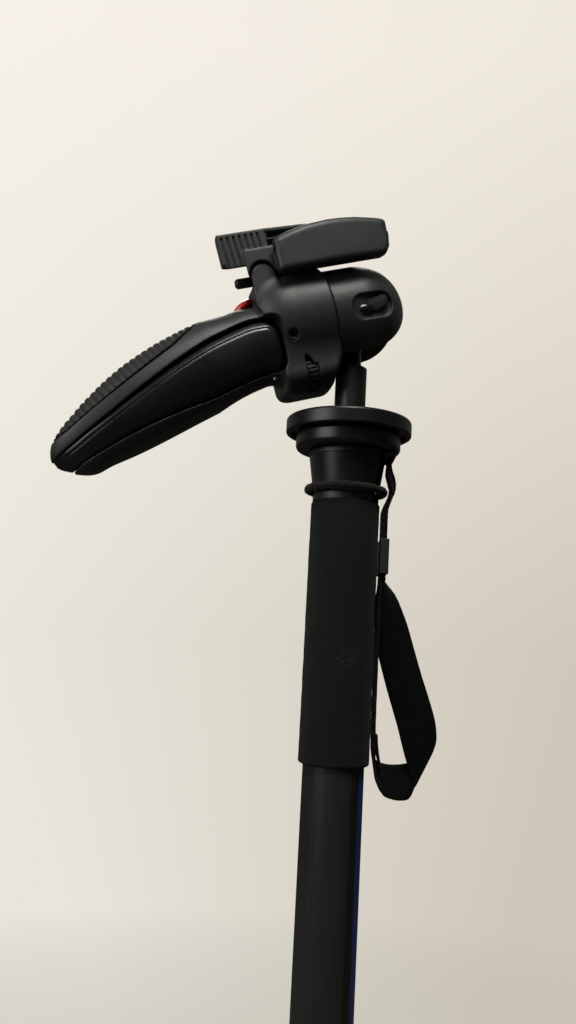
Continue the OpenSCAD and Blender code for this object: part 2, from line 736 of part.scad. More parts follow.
// Skin through [distance along the handle, growth] stations, closed at both ends
module handle_skin(stations, sides) {
    rings = len(stations) - 1;
    points = [for (q = stations, k = [0 : sides - 1]) handle_point(q[0], 360 * k / sides, q[1])];
    walls = [for (i = [0 : rings - 1], k = [0 : sides - 1])
        let (a = i * sides + k, b = i * sides + (k + 1) % sides)
        for (f = [[a, b, b + sides], [a, b + sides, a + sides]]) f];
    last = rings * sides;
    ends = concat([for (k = [1 : sides - 2]) [0, k + 1, k]],
        [for (k = [1 : sides - 2]) [last, last + k, last + k + 1]]);
    polyhedron(points = points, faces = concat(walls, ends), convexity = 4);
}

// Handle moved out by grow and run from s0 to its tip
module handle_form(grow, s0, rings = 20, sides = 28) {
    handle_skin([for (i = [0 : rings]) [s0 + (handle_l - s0) * (1 - pow(1 - i / rings, 1.7)), grow]], sides);
}

// Outline of the trigger seen from its side, larger by grow
module trigger_outline(grow) {
    steps = 12;
    corner = 4.5;
    s0 = -2;
    s1 = handle_l + 8;
    x1 = trigger_x1 + grow;
    function along(i) = s0 + (s1 - s0) * i / steps;
    hi = [for (i = [0 : steps]) trigger_edge(along(i), trigger_top) + [0, grow]];
    lo = [for (i = [steps : -1 : 0]) trigger_edge(along(i), trigger_low) - [0, grow]];
    root_hi = hi[0][1];
    root_lo = lo[steps][1];
    polygon(concat(hi, lo, [[x1 - 2, root_lo]], arc([x1 - corner, root_hi - corner], corner, 0, 90)));
}

// Line above which the rubber pad covers the handle's back
module pad_outline() polygon(pad_edge);

// Bed of the palm pad in the handle
module pad_bed(rings = 20) {
    handle_skin([for (i = [0 : rings]) let (s = -9 + (handle_l + 9) * (1 - pow(1 - i / rings, 1.7)))
        [s, -pad_t - pad_depth(s)]], 28);
}

// Body round the ball, turned about the head's axis
module housing_form(grow) {
    back = -51;
    full = -34;
    steps = 8;
    turned_x(concat([[-seam_x, 0], [-seam_x, body_r + grow]],
        [for (i = [0 : steps]) let (t = i / steps)
            [full + (back - full) * t - grow * t, 15 + (body_r - 15) * sqrt(1 - 0.98 * t * t) + grow]],
        [[back - grow, 0]]));
}

// Chin under the body, its front face parallel to the post at rest
module chin_form() {
    r = 3.5;
    stop = tan(head_tilt);
    x0 = -seam_x;
    z0 = -22;
    intersection() {
        side_form(-chin_w, chin_w) polygon(concat([[x0, 0], [x0, z0], [x0 - (chin_z - r + z0) * stop, -chin_z + r]],
            arc([x0 - (chin_z + z0) * stop - r, -chin_z + r], r, 0, -90),
            arc([-chin_x + r, -chin_z + r], r, -90, -180),
            [[-chin_x, -24], [-chin_x, 0]]));
        rod_x(-60, 0, chin_z - chin_round, 0, -chin_round);
    }
}

module horn_form(grow, w = horn_w) {
    rod_y(-w - grow, w + grow, horn_r + grow, horn_x, horn_z);
    side_form(-w - grow, w + grow) polygon([[horn_x - horn_r - grow, 8], [horn_x - horn_r - grow, horn_z],
        [horn_x + horn_r + grow, horn_z], [horn_x + horn_r + grow, 8]]);
}

module grip_body() {
    color("#1b1d1c") in_head() difference() {
        union() {
            handle_form(0, -9);
            housing_form(0);
            chin_form();
            horn_form(0);
            difference() {
                rod_x(-seam_x - 2, spigot_x, spigot_out - 0.1);
                rod_x(-seam_x - 3, spigot_x + past, spigot_in);
            }
        }
        side_form(-60, pocket_floor) trigger_outline(trigger_gap);
        difference() {
            side_form(-40, 40) pad_outline();
            pad_bed();
        }
        rod_x(-27, 0, shoe_r + 0.2);
        rod_x(-47, -26, rod_r + run);
        neck_way(roll_max);
        for (side = [0, 1]) at_screw(side) translate([0, 0, spigot_in - past]) cylinder(h = 10, r = cup_screw_r);
        translate([trigger_pivot_x, trigger_pivot_y, -27.5]) cylinder(h = 31, r = trigger_pin_r);
        rod_y(-40, -13, set_r, set_x, set_z);
        wheel_window();
        rod_x(wheel_x - wheel_t / 2 - 4, wheel_x + wheel_t / 2 + 4, axle_r, wheel_y, wheel_z);
        rod_x(catch_x0, catch_x1 + 5, catch_r + run, catch_y, catch_z);
        translate([horn_x + 1.5, 0, 10]) cylinder(h = 40, r = 2.5);
        translate([badge_x, 0, badge_z]) rotate([0, -badge_lean, 0]) cylinder(h = 12, r = 6.6);
    }
}

// Slot in the chin through which the friction wheel shows
module wheel_window() {
    rod_x(wheel_x - wheel_t / 2 - air, wheel_x + wheel_t / 2 + air, wheel_r + 0.6, wheel_y, wheel_z);
    side_form(-40, wheel_y) polygon([[wheel_x - wheel_t / 2 - air, wheel_z - 6],
        [wheel_x + wheel_t / 2 + air, wheel_z - 6], [wheel_x, wheel_z + 6.5]]);
}

// Brake: a shoe pressed on the ball by spring washers, drawn back by the trigger

module brake_shoe() {
    color("#3a3a3c") in_head() difference() {
        rod_x(-22, -9, shoe_r);
        sphere(r = liner_in);
        rod_x(-23, 0, rod_r);
    }
}

module brake_rod() {
    color("#a8a8ac") in_head() rod_x(-45, -ball_r - 0.8, rod_r);
}

module brake_springs() {
    color("#8f8f94") in_head() difference() {
        for (i = [0 : 1]) turned_x([[-26.9 + 1.6 * i, rod_r], [-26.9 + 1.6 * i, 9], [-25.5 + 1.6 * i, 9],
            [-25.5 + 1.6 * i, rod_r]]);
        rod_x(-30, -20, rod_r + air);
    }
}

// Trigger, pressed into the handle about the pin at its root

module trigger() {
    color("#0c0d14") in_head() difference() {
        union() {
            intersection() {
                difference() {
                    handle_form(0.3, -16);
                    handle_form(-trigger_wall, -18);
                }
                side_form(-60, -1) trigger_outline(0);
            }
            translate([trigger_pivot_x, trigger_pivot_y, -23]) cylinder(h = 20, r = trigger_barrel_r);
            box([trigger_pivot_x - 3, -handle_w + 1.6, -22], [trigger_pivot_x + 3, trigger_pivot_y, -5]);
        }
        translate([trigger_pivot_x, trigger_pivot_y, -40]) cylinder(h = 60, r = trigger_pin_r + run);
    }
}

module trigger_pin() {
    color("#a8a8ac") in_head() translate([trigger_pivot_x, trigger_pivot_y, -27.5])
        cylinder(h = 31, r = trigger_pin_r);
}

// Rubber pad on the handle's back with ribs across it
module palm_pad() {
    steps = 9;
    sides = 2 * steps + 2;
    rings = floor(0.72 * handle_l / rib_pitch) * 2;
    function ring(s, high, low) =
        let (a = pad_angle(s, high), b = pad_angle(s, low))
        concat([for (k = [0 : steps]) handle_point(s, a + (180 - 2 * a) * k / steps, high)],
            [for (k = [steps : -1 : 0]) handle_point(s, b + (180 - 2 * b) * k / steps, low)]);
    points = [for (i = [0 : rings])
        let (s = 0.2 * handle_l + i * rib_pitch / 2, top = -pad_depth(s))
        each ring(s, top - (i % 2 == 0 ? rib_h : 0), top - pad_t + air)];
    walls = [for (i = [0 : rings - 1], k = [0 : sides - 1])
        let (a = i * sides + k, b = i * sides + (k + 1) % sides)
        for (f = [[a, b, b + sides], [a, b + sides, a + sides]]) f];
    last = rings * sides;
    ends = [for (k = [0 : steps - 1])
        let (a = k, b = k + 1, c = sides - 2 - k, d = sides - 1 - k)
        for (f = [[c, b, a], [d, c, a], [last + a, last + b, last + c], [last + a, last + c, last + d]]) f];
    color("#131414") in_head() polyhedron(points = points, faces = concat(walls, ends), convexity = 4);
}

module badge() {
    color("#c8202a") in_head() translate([badge_x, 0, badge_z]) rotate([0, -badge_lean, 0]) {
        cylinder(h = 1.2, r = 6.5);
        translate([0, 0, 1.2]) cylinder(h = 0.5, r1 = 6.5, r2 = 5.6);
    }
}

module set_screw() {
    color("#707074") in_head() difference() {
        rod_y(-20, -13, set_r, set_x, set_z);
        translate([set_x, -17, set_z]) rotate([90, 0, 0]) cylinder(h = 6, r = 1.3, $fn = 6);
    }
}

module friction_wheel() {
    notches = 24;
    color("#232426") in_head() difference() {
        rod_x(wheel_x - wheel_t / 2, wheel_x + wheel_t / 2, wheel_r, wheel_y, wheel_z);
        rod_x(wheel_x - wheel_t, wheel_x + wheel_t, axle_r + run, wheel_y, wheel_z);
        translate([0, wheel_y, wheel_z]) for (i = [0 : notches - 1]) rotate([360 * i / notches, 0, 0])
            rod_x(wheel_x - wheel_t, wheel_x + wheel_t, 0.6, wheel_r, 0);
    }
}

module wheel_axle() {
    color("#a8a8ac") in_head()
        rod_x(wheel_x - wheel_t / 2 - 4, wheel_x + wheel_t / 2 + 4, axle_r, wheel_y, wheel_z);
}

module safety_catch() {
    color("#0f0f10") in_head() {
        rod_x(catch_x0, catch_x1, catch_r, catch_y, catch_z);
        turned_catch_tip();
    }
}

module turned_catch_tip() {
    translate([0, catch_y, catch_z]) turned_x([[catch_x0 - 0.9, 0], [catch_x0 - 0.9, catch_r - 0.8],
        [catch_x0, catch_r], [catch_x0, 0]]);
}

// Plate clamp

module clamp_base() {
    rib_w = 2;
    rib_step = 2.9;
    rib_top = clamp_z - 1.5;
    ribs = 7;
    color("#191a1b") in_head() difference() {
        union() {
            difference() {
                side_form(-clamp_w, clamp_w) polygon([[-38, clamp_z], [clamp_x0, clamp_z],
                    [clamp_x0 - 1, clamp_bottom + 3], [clamp_x0 + 1, clamp_bottom], [-38, clamp_bottom]]);
                block_slope();
            }
            translate([0, 0, saddle_z0]) linear_extrude(floor_z - saddle_z0)
                polygon([[saddle_left(-15), -15], [-31, -15], [-31, 15], [saddle_left(15), 15]]);
            box([-40, -clamp_w, floor_z - clamp_floor], [clamp_x1, clamp_w, floor_z]);
            box([plate_x1 + 0.3, -clamp_w, floor_z - 0.5], [clamp_x1, clamp_w, clamp_z - 1.2]);
            box([plate_x0, plate_w + 0.3, floor_z - 0.5], [clamp_x1, clamp_w, clamp_z - 1.2]);
            translate([0, 0, saddle_z0]) linear_extrude(clamp_bottom + 8 - saddle_z0)
                polygon([[saddle_x0, -saddle_w], [-31, -saddle_w], [-31, saddle_w], [saddle_left(saddle_w), saddle_w]]);
            box([lever_x - knuckle_r, lever_y, knuckle_z0], [lever_x + knuckle_r, -saddle_w + 3, knuckle_z1]);
            translate([lever_x, lever_y, knuckle_z0]) cylinder(h = knuckle_z1 - knuckle_z0, r = knuckle_r);
        }
        for (i = [0 : ribs - 1], side = [-1, 1])
            box([clamp_x0 + 1 + i * rib_step, side * clamp_w - 0.8, clamp_bottom - past],
                [clamp_x0 + 1 + i * rib_step + rib_step - rib_w, side * clamp_w + 0.8, rib_top]);
        horn_form(0, saddle_w + past);
        rod_x(-70, catch_x1 + 5, catch_r + 0.5, catch_y, catch_z);
        housing_form(0.5);
        handle_form(0.5, -9, 8, 16);
        box([-70, -40, -40], [-51.5, 40, clamp_bottom]);
        translate([lever_x, lever_y, 0]) cylinder(h = 60, r = lever_pin_r);
        translate([horn_x + 1.5, 0, 10]) cylinder(h = 60, r = 2.5);
        translate([horn_x + 1.5, 0, clamp_bottom + 9]) cylinder(h = 30, r = 4.6);
        for (side = [-1, 1]) side_bevel(side);
    }
}

// Slope under the ribbed block, up to a thin edge on its far side, and slant of its end
module block_slope() {
    rise = tan(25);
    translate([-80, 0, 0]) rotate([90, 0, 90]) linear_extrude(80 - 38 + past)
        polygon([[-clamp_w, clamp_bottom], [clamp_w + past, clamp_bottom + rise * (2 * clamp_w + past)],
            [clamp_w + past, clamp_bottom - 20], [-clamp_w, clamp_bottom - 20]]);
    linear_extrude(100) polygon([[clamp_x0 - 1.2, -clamp_w], [clamp_x0 + 6, clamp_w + past],
        [clamp_x0 - 20, clamp_w + past], [clamp_x0 - 20, -clamp_w]]);
}

// Bevel under the clamp's floor, towards its long edges
module side_bevel(side) {
    translate([-31, 0, 0]) rotate([90, 0, 90]) linear_extrude(60)
        polygon([[side * 7, floor_z - clamp_floor - past], [side * (clamp_w + past), floor_z - clamp_floor - past],
            [side * (clamp_w + past), floor_z - 0.6]]);
}

module clamp_screw() {
    color("#8d8d90") in_head() translate([horn_x + 1.5, 0, 0]) {
        translate([0, 0, 12]) cylinder(h = clamp_bottom + 9.5 - 12, r = 2.5);
        difference() {
            translate([0, 0, clamp_bottom + 9]) cylinder(h = 4, r = 4.5);
            translate([0, 0, clamp_bottom + 11]) cylinder(h = 4, r = 2, $fn = 6);
        }
    }
}

// Outline of the clamp lever as shares of its length and height
lever_shape = [[-0.08, 0.056], [0.888, 0], [0.938, 0.046], [0.972, 0.167], [0.992, 0.421], [1, 0.75],
    [0.979, 0.824], [0.926, 0.866], [0.841, 0.907], [0.718, 0.963], [0.586, 0.991], [0.454, 1], [0.265, 0.968],
    [0.094, 0.889], [-0.08, 0.76]];

// Big clamp lever, swung out about the pin at its left end
module clamp_lever() {
    reach = lever_l - lever_r;
    x1 = lever_x + reach;
    color("#1f2021") in_head() difference() {
        intersection() {
            side_form(-60, 0) polygon([for (q = lever_shape) [lever_x + reach * q[0], lever_z0 + lever_h * q[1]]]);
            union() {
                translate([lever_x, lever_y, 0]) cylinder(h = 60, r = lever_r);
                translate([0, lever_y, 0]) linear_extrude(60) polygon(concat(
                    [for (i = [0 : 8]) let (t = i / 8) [lever_x + (x1 - lever_x) * t, -lever_r - 1.2 * sin(180 * t)]],
                    arc([x1 - 2, lever_r - 2], 2, 0, 90), [[lever_x, lever_r]]));
            }
        }
        box([lever_x - lever_r - past, lever_y - 1.7, knuckle_z0 - air],
            [lever_x, lever_y + lever_r + past, knuckle_z1 + air]);
        box([lever_x - past, lever_y, knuckle_z0 - air],
            [lever_x + knuckle_r + air, lever_y + lever_r + past, knuckle_z1 + air]);
        translate([lever_x, lever_y, knuckle_z0 - air]) cylinder(h = knuckle_z1 - knuckle_z0 + 2 * air,
            r = knuckle_r + air);
        translate([lever_x, lever_y, 0]) cylinder(h = 60, r = lever_pin_r + run);
    }
}

module lever_pin() {
    color("#a8a8ac") in_head() translate([lever_x, lever_y, lever_z0 + 2.2])
        cylinder(h = 0.76 * lever_h - 2.7, r = lever_pin_r);
}

module camera_plate() {
    z0 = floor_z + air;
    color("#151516") in_head() difference() {
        box([plate_x0, -plate_w, z0], [plate_x1, plate_w, clamp_z - plate_pad_t]);
        translate([plate_mid(), 0, z0 - past]) cylinder(h = 20, r = screw_r + run);
        translate([plate_mid(), 0, z0 - past]) cylinder(h = past + 2.2, r = 7.2);
    }
}

function plate_mid() = (plate_x0 + plate_x1) / 2;

module plate_pad() {
    color("#101010") in_head() difference() {
        box([plate_x0 + 1, -plate_w + 1, clamp_z - plate_pad_t], [plate_x1 - 1, plate_w - 1, clamp_z]);
        translate([plate_mid(), 0, clamp_z - 5]) cylinder(h = 20, r = screw_r + 1.5);
    }
}

// Its thread starts above the plate, and the thin shank below keeps it captive
module camera_screw() {
    z0 = floor_z + 2 * air;
    color("#a8a8ac") in_head() difference() {
        translate([plate_mid(), 0, z0]) {
            cylinder(h = 1.6, r = 7);
            cylinder(h = clamp_z + air - z0, r = screw_r - 0.7);
            translate([0, 0, clamp_z + air - z0]) cylinder(h = screw_l - air, r = screw_r);
        }
        box([plate_mid() - 10, -0.6, z0 - past], [plate_mid() + 10, 0.6, z0 + 0.9]);
    }
}

top_platform();
platform_pad();
mounting_stud();
strap_ring();
wrist_strap();
strap_slider();
cord_ring();
grip_collar();
foam_grip();
upper_tube();
tube_2();
tube_3();
tube_4();
bushing_2();
bushing_3();
bushing_4();
lock1_collar();
lock1_lever();
lock1_pin();
lock1_bolt();
lock2_collar();
lock2_lever();
lock2_pin();
lock2_bolt();
lock3_collar();
lock3_lever();
lock3_pin();
lock3_bolt();
foot_plug();
rubber_foot();
base_disc();
ball_stem();
ball_liner();
ball_cup();
cup_screws();
grip_body();
brake_shoe();
brake_rod();
brake_springs();
trigger();
trigger_pin();
palm_pad();
badge();
set_screw();
friction_wheel();
wheel_axle();
safety_catch();
clamp_base();
clamp_screw();
clamp_lever();
lever_pin();
camera_plate();
plate_pad();
camera_screw();
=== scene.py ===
"""Looks of the monopod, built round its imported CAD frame. Lengths are in mm until a mesh is made."""
import bpy
import json
import math
import numpy as np
from mathutils import Vector, Matrix


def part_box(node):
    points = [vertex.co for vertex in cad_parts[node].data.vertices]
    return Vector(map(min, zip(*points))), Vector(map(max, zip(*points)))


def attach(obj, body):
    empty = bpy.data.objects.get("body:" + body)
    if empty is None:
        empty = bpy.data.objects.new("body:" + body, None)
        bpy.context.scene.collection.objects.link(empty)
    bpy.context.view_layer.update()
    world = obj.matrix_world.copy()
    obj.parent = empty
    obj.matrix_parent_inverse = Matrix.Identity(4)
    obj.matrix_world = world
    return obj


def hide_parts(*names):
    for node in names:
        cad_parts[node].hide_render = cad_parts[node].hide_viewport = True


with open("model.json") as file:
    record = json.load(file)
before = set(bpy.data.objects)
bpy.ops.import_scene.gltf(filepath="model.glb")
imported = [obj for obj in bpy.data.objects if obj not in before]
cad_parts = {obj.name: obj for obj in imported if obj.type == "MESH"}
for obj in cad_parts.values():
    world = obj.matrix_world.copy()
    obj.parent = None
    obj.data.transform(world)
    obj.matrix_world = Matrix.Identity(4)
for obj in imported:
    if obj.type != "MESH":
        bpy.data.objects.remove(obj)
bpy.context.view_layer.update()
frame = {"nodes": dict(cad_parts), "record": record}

MM = 0.001
joints = {j["name"]: j for j in frame["record"]["behaviour"]["joints"]}
ball_z = joints["head_tilt"]["pos_m"][2] / MM
roll_axis = joints["head_roll"]["axis"]
head_tilt = math.atan2(roll_axis[2], roll_axis[0])


def node_box(node):
    """Lowest and highest corner of a CAD node, in mm."""
    low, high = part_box(node)
    return np.array(low) / MM, np.array(high) / MM


def turned(a, b, angle):
    """Coordinates a and b as measured along axes turned by an angle."""
    c, s = math.cos(angle), math.sin(angle)
    return a * c + b * s, b * c - a * s


def head_to_row(points):
    """Points of the head's own frame, whose origin is the ball, in the row frame."""
    x, y, z = points.T
    x, z = turned(x, z, -head_tilt)
    return np.stack([x, y, ball_z + z], 1)


# Distance fields: arrays x, y, z in mm give a distance that is negative inside

def join(a, b, k):
    """Union with a fillet about k wide."""
    h = np.clip(0.5 + 0.5 * (b - a) / k, 0, 1)
    return b + (a - b) * h - k * h * (1 - h)


def cut(a, b, k):
    """What both hold, with an edge rounded over about k."""
    return -join(-a, -b, k)


def outline(x, z, corners):
    """Distance to a closed polygon in the x, z plane."""
    near = np.full(x.shape, 1e9)
    sign = np.ones(x.shape)
    for (ax, az), (bx, bz) in zip(corners, corners[1:] + corners[:1]):
        ex, ez, wx, wz = bx - ax, bz - az, x - ax, z - az
        t = np.clip((wx * ex + wz * ez) / (ex * ex + ez * ez), 0, 1)
        near = np.minimum(near, (wx - ex * t) ** 2 + (wz - ez * t) ** 2)
        above, below, left = z >= az, z < bz, ex * wz > ez * wx
        sign = np.where((above & below & left) | ~(above | below | left), -sign, sign)
    return sign * np.sqrt(near)


def box_field(x, y, z, low, high, k=0.8):
    """Box with rounded edges."""
    d = [np.abs(v - (a + b) / 2) - (b - a) / 2 for v, a, b in zip((x, y, z), low, high)]
    return cut(cut(d[0], d[1], k), d[2], k)


def ease(s, start, length):
    """0 before start, then evenly up to 1 over a length."""
    return np.clip((s - start) / length, 0, 1)


def arc(cx, cz, r, start, end, steps=6):
    """Points on an arc in the x, z plane, from one angle in degrees to another."""
    turns = np.radians(np.linspace(start, end, steps + 1))
    return [(cx + r * math.cos(a), cz + r * math.sin(a)) for a in turns]


def surface_nets(f, low, step):
    """Points and four-sided faces of the surface where the grid f changes sign."""
    inside = f < 0
    ends = [slice(0, -1), slice(1, None)]
    count = sum(inside[a, b, c].astype(np.int8) for a in ends for b in ends for c in ends)
    active = (count > 0) & (count < 8)
    cells = np.argwhere(active)
    index = np.full(active.shape, -1, np.int32)
    index[active] = np.arange(len(cells))
    total, hits = np.zeros((len(cells), 3)), np.zeros(len(cells))
    unit = np.eye(3, dtype=int)
    for axis in range(3):
        u, v = unit[(axis + 1) % 3], unit[(axis + 2) % 3]
        for corner in (0 * u, u, v, u + v):
            fa, fb = f[tuple((cells + corner).T)], f[tuple((cells + corner + unit[axis]).T)]
            crossed = (fa < 0) != (fb < 0)
            t = np.where(crossed, fa / np.where(fa == fb, 1, fa - fb), 0)
            total += np.where(crossed[:, None], corner + t[:, None] * unit[axis], 0)
            hits += crossed
    points = np.array(low) + step * (cells + total / hits[:, None])
    faces = []
    for axis in range(3):
        u, v = unit[(axis + 1) % 3], unit[(axis + 2) % 3]
        edges = np.argwhere(np.diff(inside, axis=axis))
        edges = edges[(edges @ u > 0) & (edges @ v > 0)]
        ring = np.stack([index[tuple((edges - o).T)] for o in (u + v, v, 0 * u, u)], 1)
        outward = inside[tuple(edges.T)]
        faces.append(np.where(outward[:, None], ring, ring[:, ::-1]))
    return points, np.concatenate(faces)


def field_mesh(field, low, high, step):
    """Mesh of a distance field, worked out on a fine grid only near its surface."""
    block = 4
    n = [math.ceil((b - a) / (step * block)) for a, b in zip(low, high)]
    centres = [a + step * block * (np.arange(k) + 0.5) for a, k in zip(low, n)]
    rough = field(*(g.ravel() for g in np.meshgrid(*centres, indexing="ij"))).reshape(n)

    def spread(a):
        return a.repeat(block, 0).repeat(block, 1).repeat(block, 2)

    f = np.ones([k * block + 1 for k in n])
    f[:-1, :-1, :-1] = spread(np.where(rough < 0, -1.0, 1.0))
    near = np.zeros(f.shape, bool)
    close = spread(np.abs(rough) < 2 * step * block)
    ends = [slice(0, -1), slice(1, None)]
    for a in ends:
        for b in ends:
            for c in ends:
                near[a, b, c] |= close
    spots = np.argwhere(near)
    f[near] = field(*(np.array(low)[:, None] + step * spots.T))
    points, faces = surface_nets(f, low, step)
    for _ in range(2):
        points = settle(field, points, step)
    return points, faces


def settle(field, points, step):
    """Moves points onto the surface along the field's slope, by half a step at most."""
    nudge, least_slope = 0.05, 0.2
    here = field(*points.T)
    slope = np.stack([field(*(points + nudge * np.eye(3)[i]).T) - here for i in range(3)], 1) / nudge
    move = -here[:, None] * slope / np.maximum((slope ** 2).sum(1), least_slope)[:, None]
    size = np.linalg.norm(move, axis=1)[:, None]
    return points + move * np.minimum(1, 0.5 * step / np.maximum(size, 1e-9))


def piece(name, points, faces, body, material, replaces=()):
    """A mesh in mm becomes a piece that rides on a body and stands for CAD nodes."""
    mesh = bpy.data.meshes.new(name)
    rows = faces.tolist() if isinstance(faces, np.ndarray) else faces
    mesh.from_pydata((np.asarray(points) * MM).tolist(), [], rows)
    mesh.materials.append(material)
    mesh.shade_smooth()
    obj = bpy.data.objects.new(name, mesh)
    bpy.context.scene.collection.objects.link(obj)
    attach(obj, body)
    if replaces:
        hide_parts(*replaces)
    return obj


def lathe(profile, around):
    """Points and faces of a closed (radius, height) profile turned about Z."""
    n = len(profile)
    turns = np.linspace(0, 2 * math.pi, around, endpoint=False)
    points = np.array([(r * math.cos(a), r * math.sin(a), z) for a in turns for r, z in profile])
    faces = []
    for i in range(around):
        here, after = i * n, (i + 1) % around * n
        faces += [(here + k, after + k, after + (k + 1) % n, here + (k + 1) % n) for k in range(n)]
    return points, faces


# Materials

def tone(r, g, b):
    """A colour as seen on a screen, 0 to 255, in the linear values that shaders take."""
    shares = [v / 255 for v in (r, g, b)]
    return tuple(v / 12.92 if v <= 0.04 else ((v + 0.055) / 1.055) ** 2.4 for v in shares) + (1,)


class Shader:
    """A material with a few calls that add and join nodes."""

    def __init__(self, name):
        self.material = bpy.data.materials.new(name)
        self.material.use_nodes = True
        self.tree = self.material.node_tree
        self.out = self.tree.nodes["Principled BSDF"]
        self.where = self.add("TexCoord").outputs["Object"]

    def add(self, kind, inputs=None, **settings):
        node = self.tree.nodes.new("ShaderNode" + kind)
        for key, value in settings.items():
            setattr(node, key, value)
        for key, value in (inputs or {}).items():
            self.put(node, key, value)
        return node

    def put(self, node, key, value):
        if isinstance(value, bpy.types.NodeSocket):
            self.tree.links.new(value, node.inputs[key])
        else:
            node.inputs[key].default_value = value

    def set(self, **values):
        for key, value in values.items():
            self.put(self.out, key.replace("_", " "), value)

    def stretched(self, scale):
        return self.add("Mapping", {"Vector": self.where, "Scale": scale}).outputs[0]

    def noise(self, scale, detail=3.0, vector=None):
        return self.add("TexNoise", {"Vector": vector or self.where, "Scale": scale, "Detail": detail,
                                     "Roughness": 0.55}).outputs["Fac"]

    def ramp(self, value, low, high, a=0.0, b=1.0):
        return self.add("MapRange", {"Value": value, "From Min": low, "From Max": high,
                                     "To Min": a, "To Max": b}, clamp=True).outputs[0]

    def math(self, operation, a, b=0.0):
        node = self.add("Math", operation=operation)
        self.put(node, 0, a)
        self.put(node, 1, b)
        return node.outputs[0]

    def mix(self, share, a, b):
        """Colour a, going over to b by a share; the node's sockets for colours are numbered."""
        factor, first, second, result = 0, 6, 7, 2
        node = self.add("Mix", data_type="RGBA")
        self.put(node, factor, share)
        self.put(node, first, a)
        self.put(node, second, b)
        return node.outputs[result]

    def bump(self, height, distance, strength=1.0, normal=None):
        node = self.add("Bump", {"Height": height, "Distance": distance, "Strength": strength})
        if normal:
            self.put(node, "Normal", normal)
        return node.outputs[0]

    def edges(self, radius):
        """Rounded normal, and how far it leans from the flat one: 0 on faces, more at edges."""
        flat_until, edge_from = 0.995, 0.9
        soft = self.add("Bevel", {"Radius": radius}, samples=4).outputs[0]
        flat = self.add("NewGeometry").outputs["Normal"]
        lean = self.add("VectorMath", {0: soft, 1: flat}, operation="DOT_PRODUCT").outputs["Value"]
        return soft, self.ramp(lean, flat_until, edge_from)


def surface(name, colour, rough, grain=2500, depth=0.00004, patch=45, worn=None, edge=0.0004,
            spread=0.12, **settings):
    """Colour that varies a little, fine grain, uneven roughness and edges rubbed to the colour worn."""
    s = Shader(name)
    shades, rub_scale = 0.12, 260
    broad, fine = s.noise(patch), s.noise(grain, 2.0)
    dark = tuple(v * (1 - shades) for v in colour[:3]) + (1,)
    light = tuple(min(1, v * (1 + shades)) for v in colour[:3]) + (1,)
    base = s.mix(s.ramp(broad, 0.3, 0.7), dark, light)
    normal = None
    if worn:
        normal, edge_mask = s.edges(edge)
        rubbed = s.math("MULTIPLY", edge_mask, s.ramp(s.noise(rub_scale, 4.0), 0.5, 0.72))
        base = s.mix(rubbed, base, worn)
    uneven = s.ramp(broad, 0.25, 0.75, rough - spread / 2, rough + spread / 2)
    s.set(Base_Color=base, Roughness=uneven, Normal=s.bump(fine, depth, 1.0, normal), **settings)
    return s.material


casting = surface("casting", tone(41, 45, 42), 0.44, grain=1900, depth=0.00005, worn=tone(104, 107, 103),
                  edge=0.0005, Specular_IOR_Level=0.4)
plate_black = surface("plate_black", tone(38, 39, 39), 0.42, grain=3200, depth=0.00002,
                      worn=tone(120, 121, 120))
anodised = surface("anodised", tone(30, 34, 33), 0.34, grain=4200, depth=0.000012,
                   worn=tone(110, 112, 112), edge=0.0003, Metallic=0.35)
steel = surface("steel", tone(150, 150, 148), 0.3, grain=3500, depth=0.00001, worn=tone(190, 190, 188),
                Metallic=1.0)
blackened = surface("blackened", tone(15, 16, 16), 0.3, grain=3500, depth=0.00001, worn=tone(52, 53, 52))
dome_black = surface("dome_black", tone(12, 14, 16), 0.22, grain=3500, depth=0.000005)
# Near-black dull surface, darker than the parts' own black: painted shade for the friction wheel deep in its
# window and for the dish floors
shade_black = surface("shade_black", tone(6, 6, 6), 0.6, grain=3000, depth=0.00002)
plastic = surface("plastic", tone(24, 25, 26), 0.46, grain=2600, depth=0.00003, worn=tone(58, 59, 60))
liner = surface("liner", tone(205, 204, 194), 0.4, grain=2600, depth=0.00002)
rubber = surface("rubber", tone(27, 28, 27), 0.72, grain=1500, depth=0.00007, worn=tone(58, 58, 55),
                 spread=0.2)
red = surface("red", tone(222, 56, 52), 0.25, grain=2600, depth=0.00001, Coat_Weight=0.6,
              Coat_Roughness=0.08)


def gloss_material():
    """Glossy blue-black plastic with fine hairline scratches and dulled patches."""
    s = Shader("gloss")
    scratch = s.ramp(s.noise(1.0, 2.0, s.stretched((120, 120, 5200))), 0.66, 0.7)
    hair = s.math("MULTIPLY", scratch, s.ramp(s.noise(90), 0.52, 0.6))
    dull = s.noise(60, 4.0)
    s.set(Base_Color=s.mix(hair, tone(17, 18, 22), tone(70, 71, 74)),
          Roughness=s.math("ADD", s.ramp(dull, 0.3, 0.7, 0.26, 0.36), s.math("MULTIPLY", hair, 0.3)),
          Normal=s.bump(s.noise(420, 3.0), 0.00003, 0.6))
    return s.material


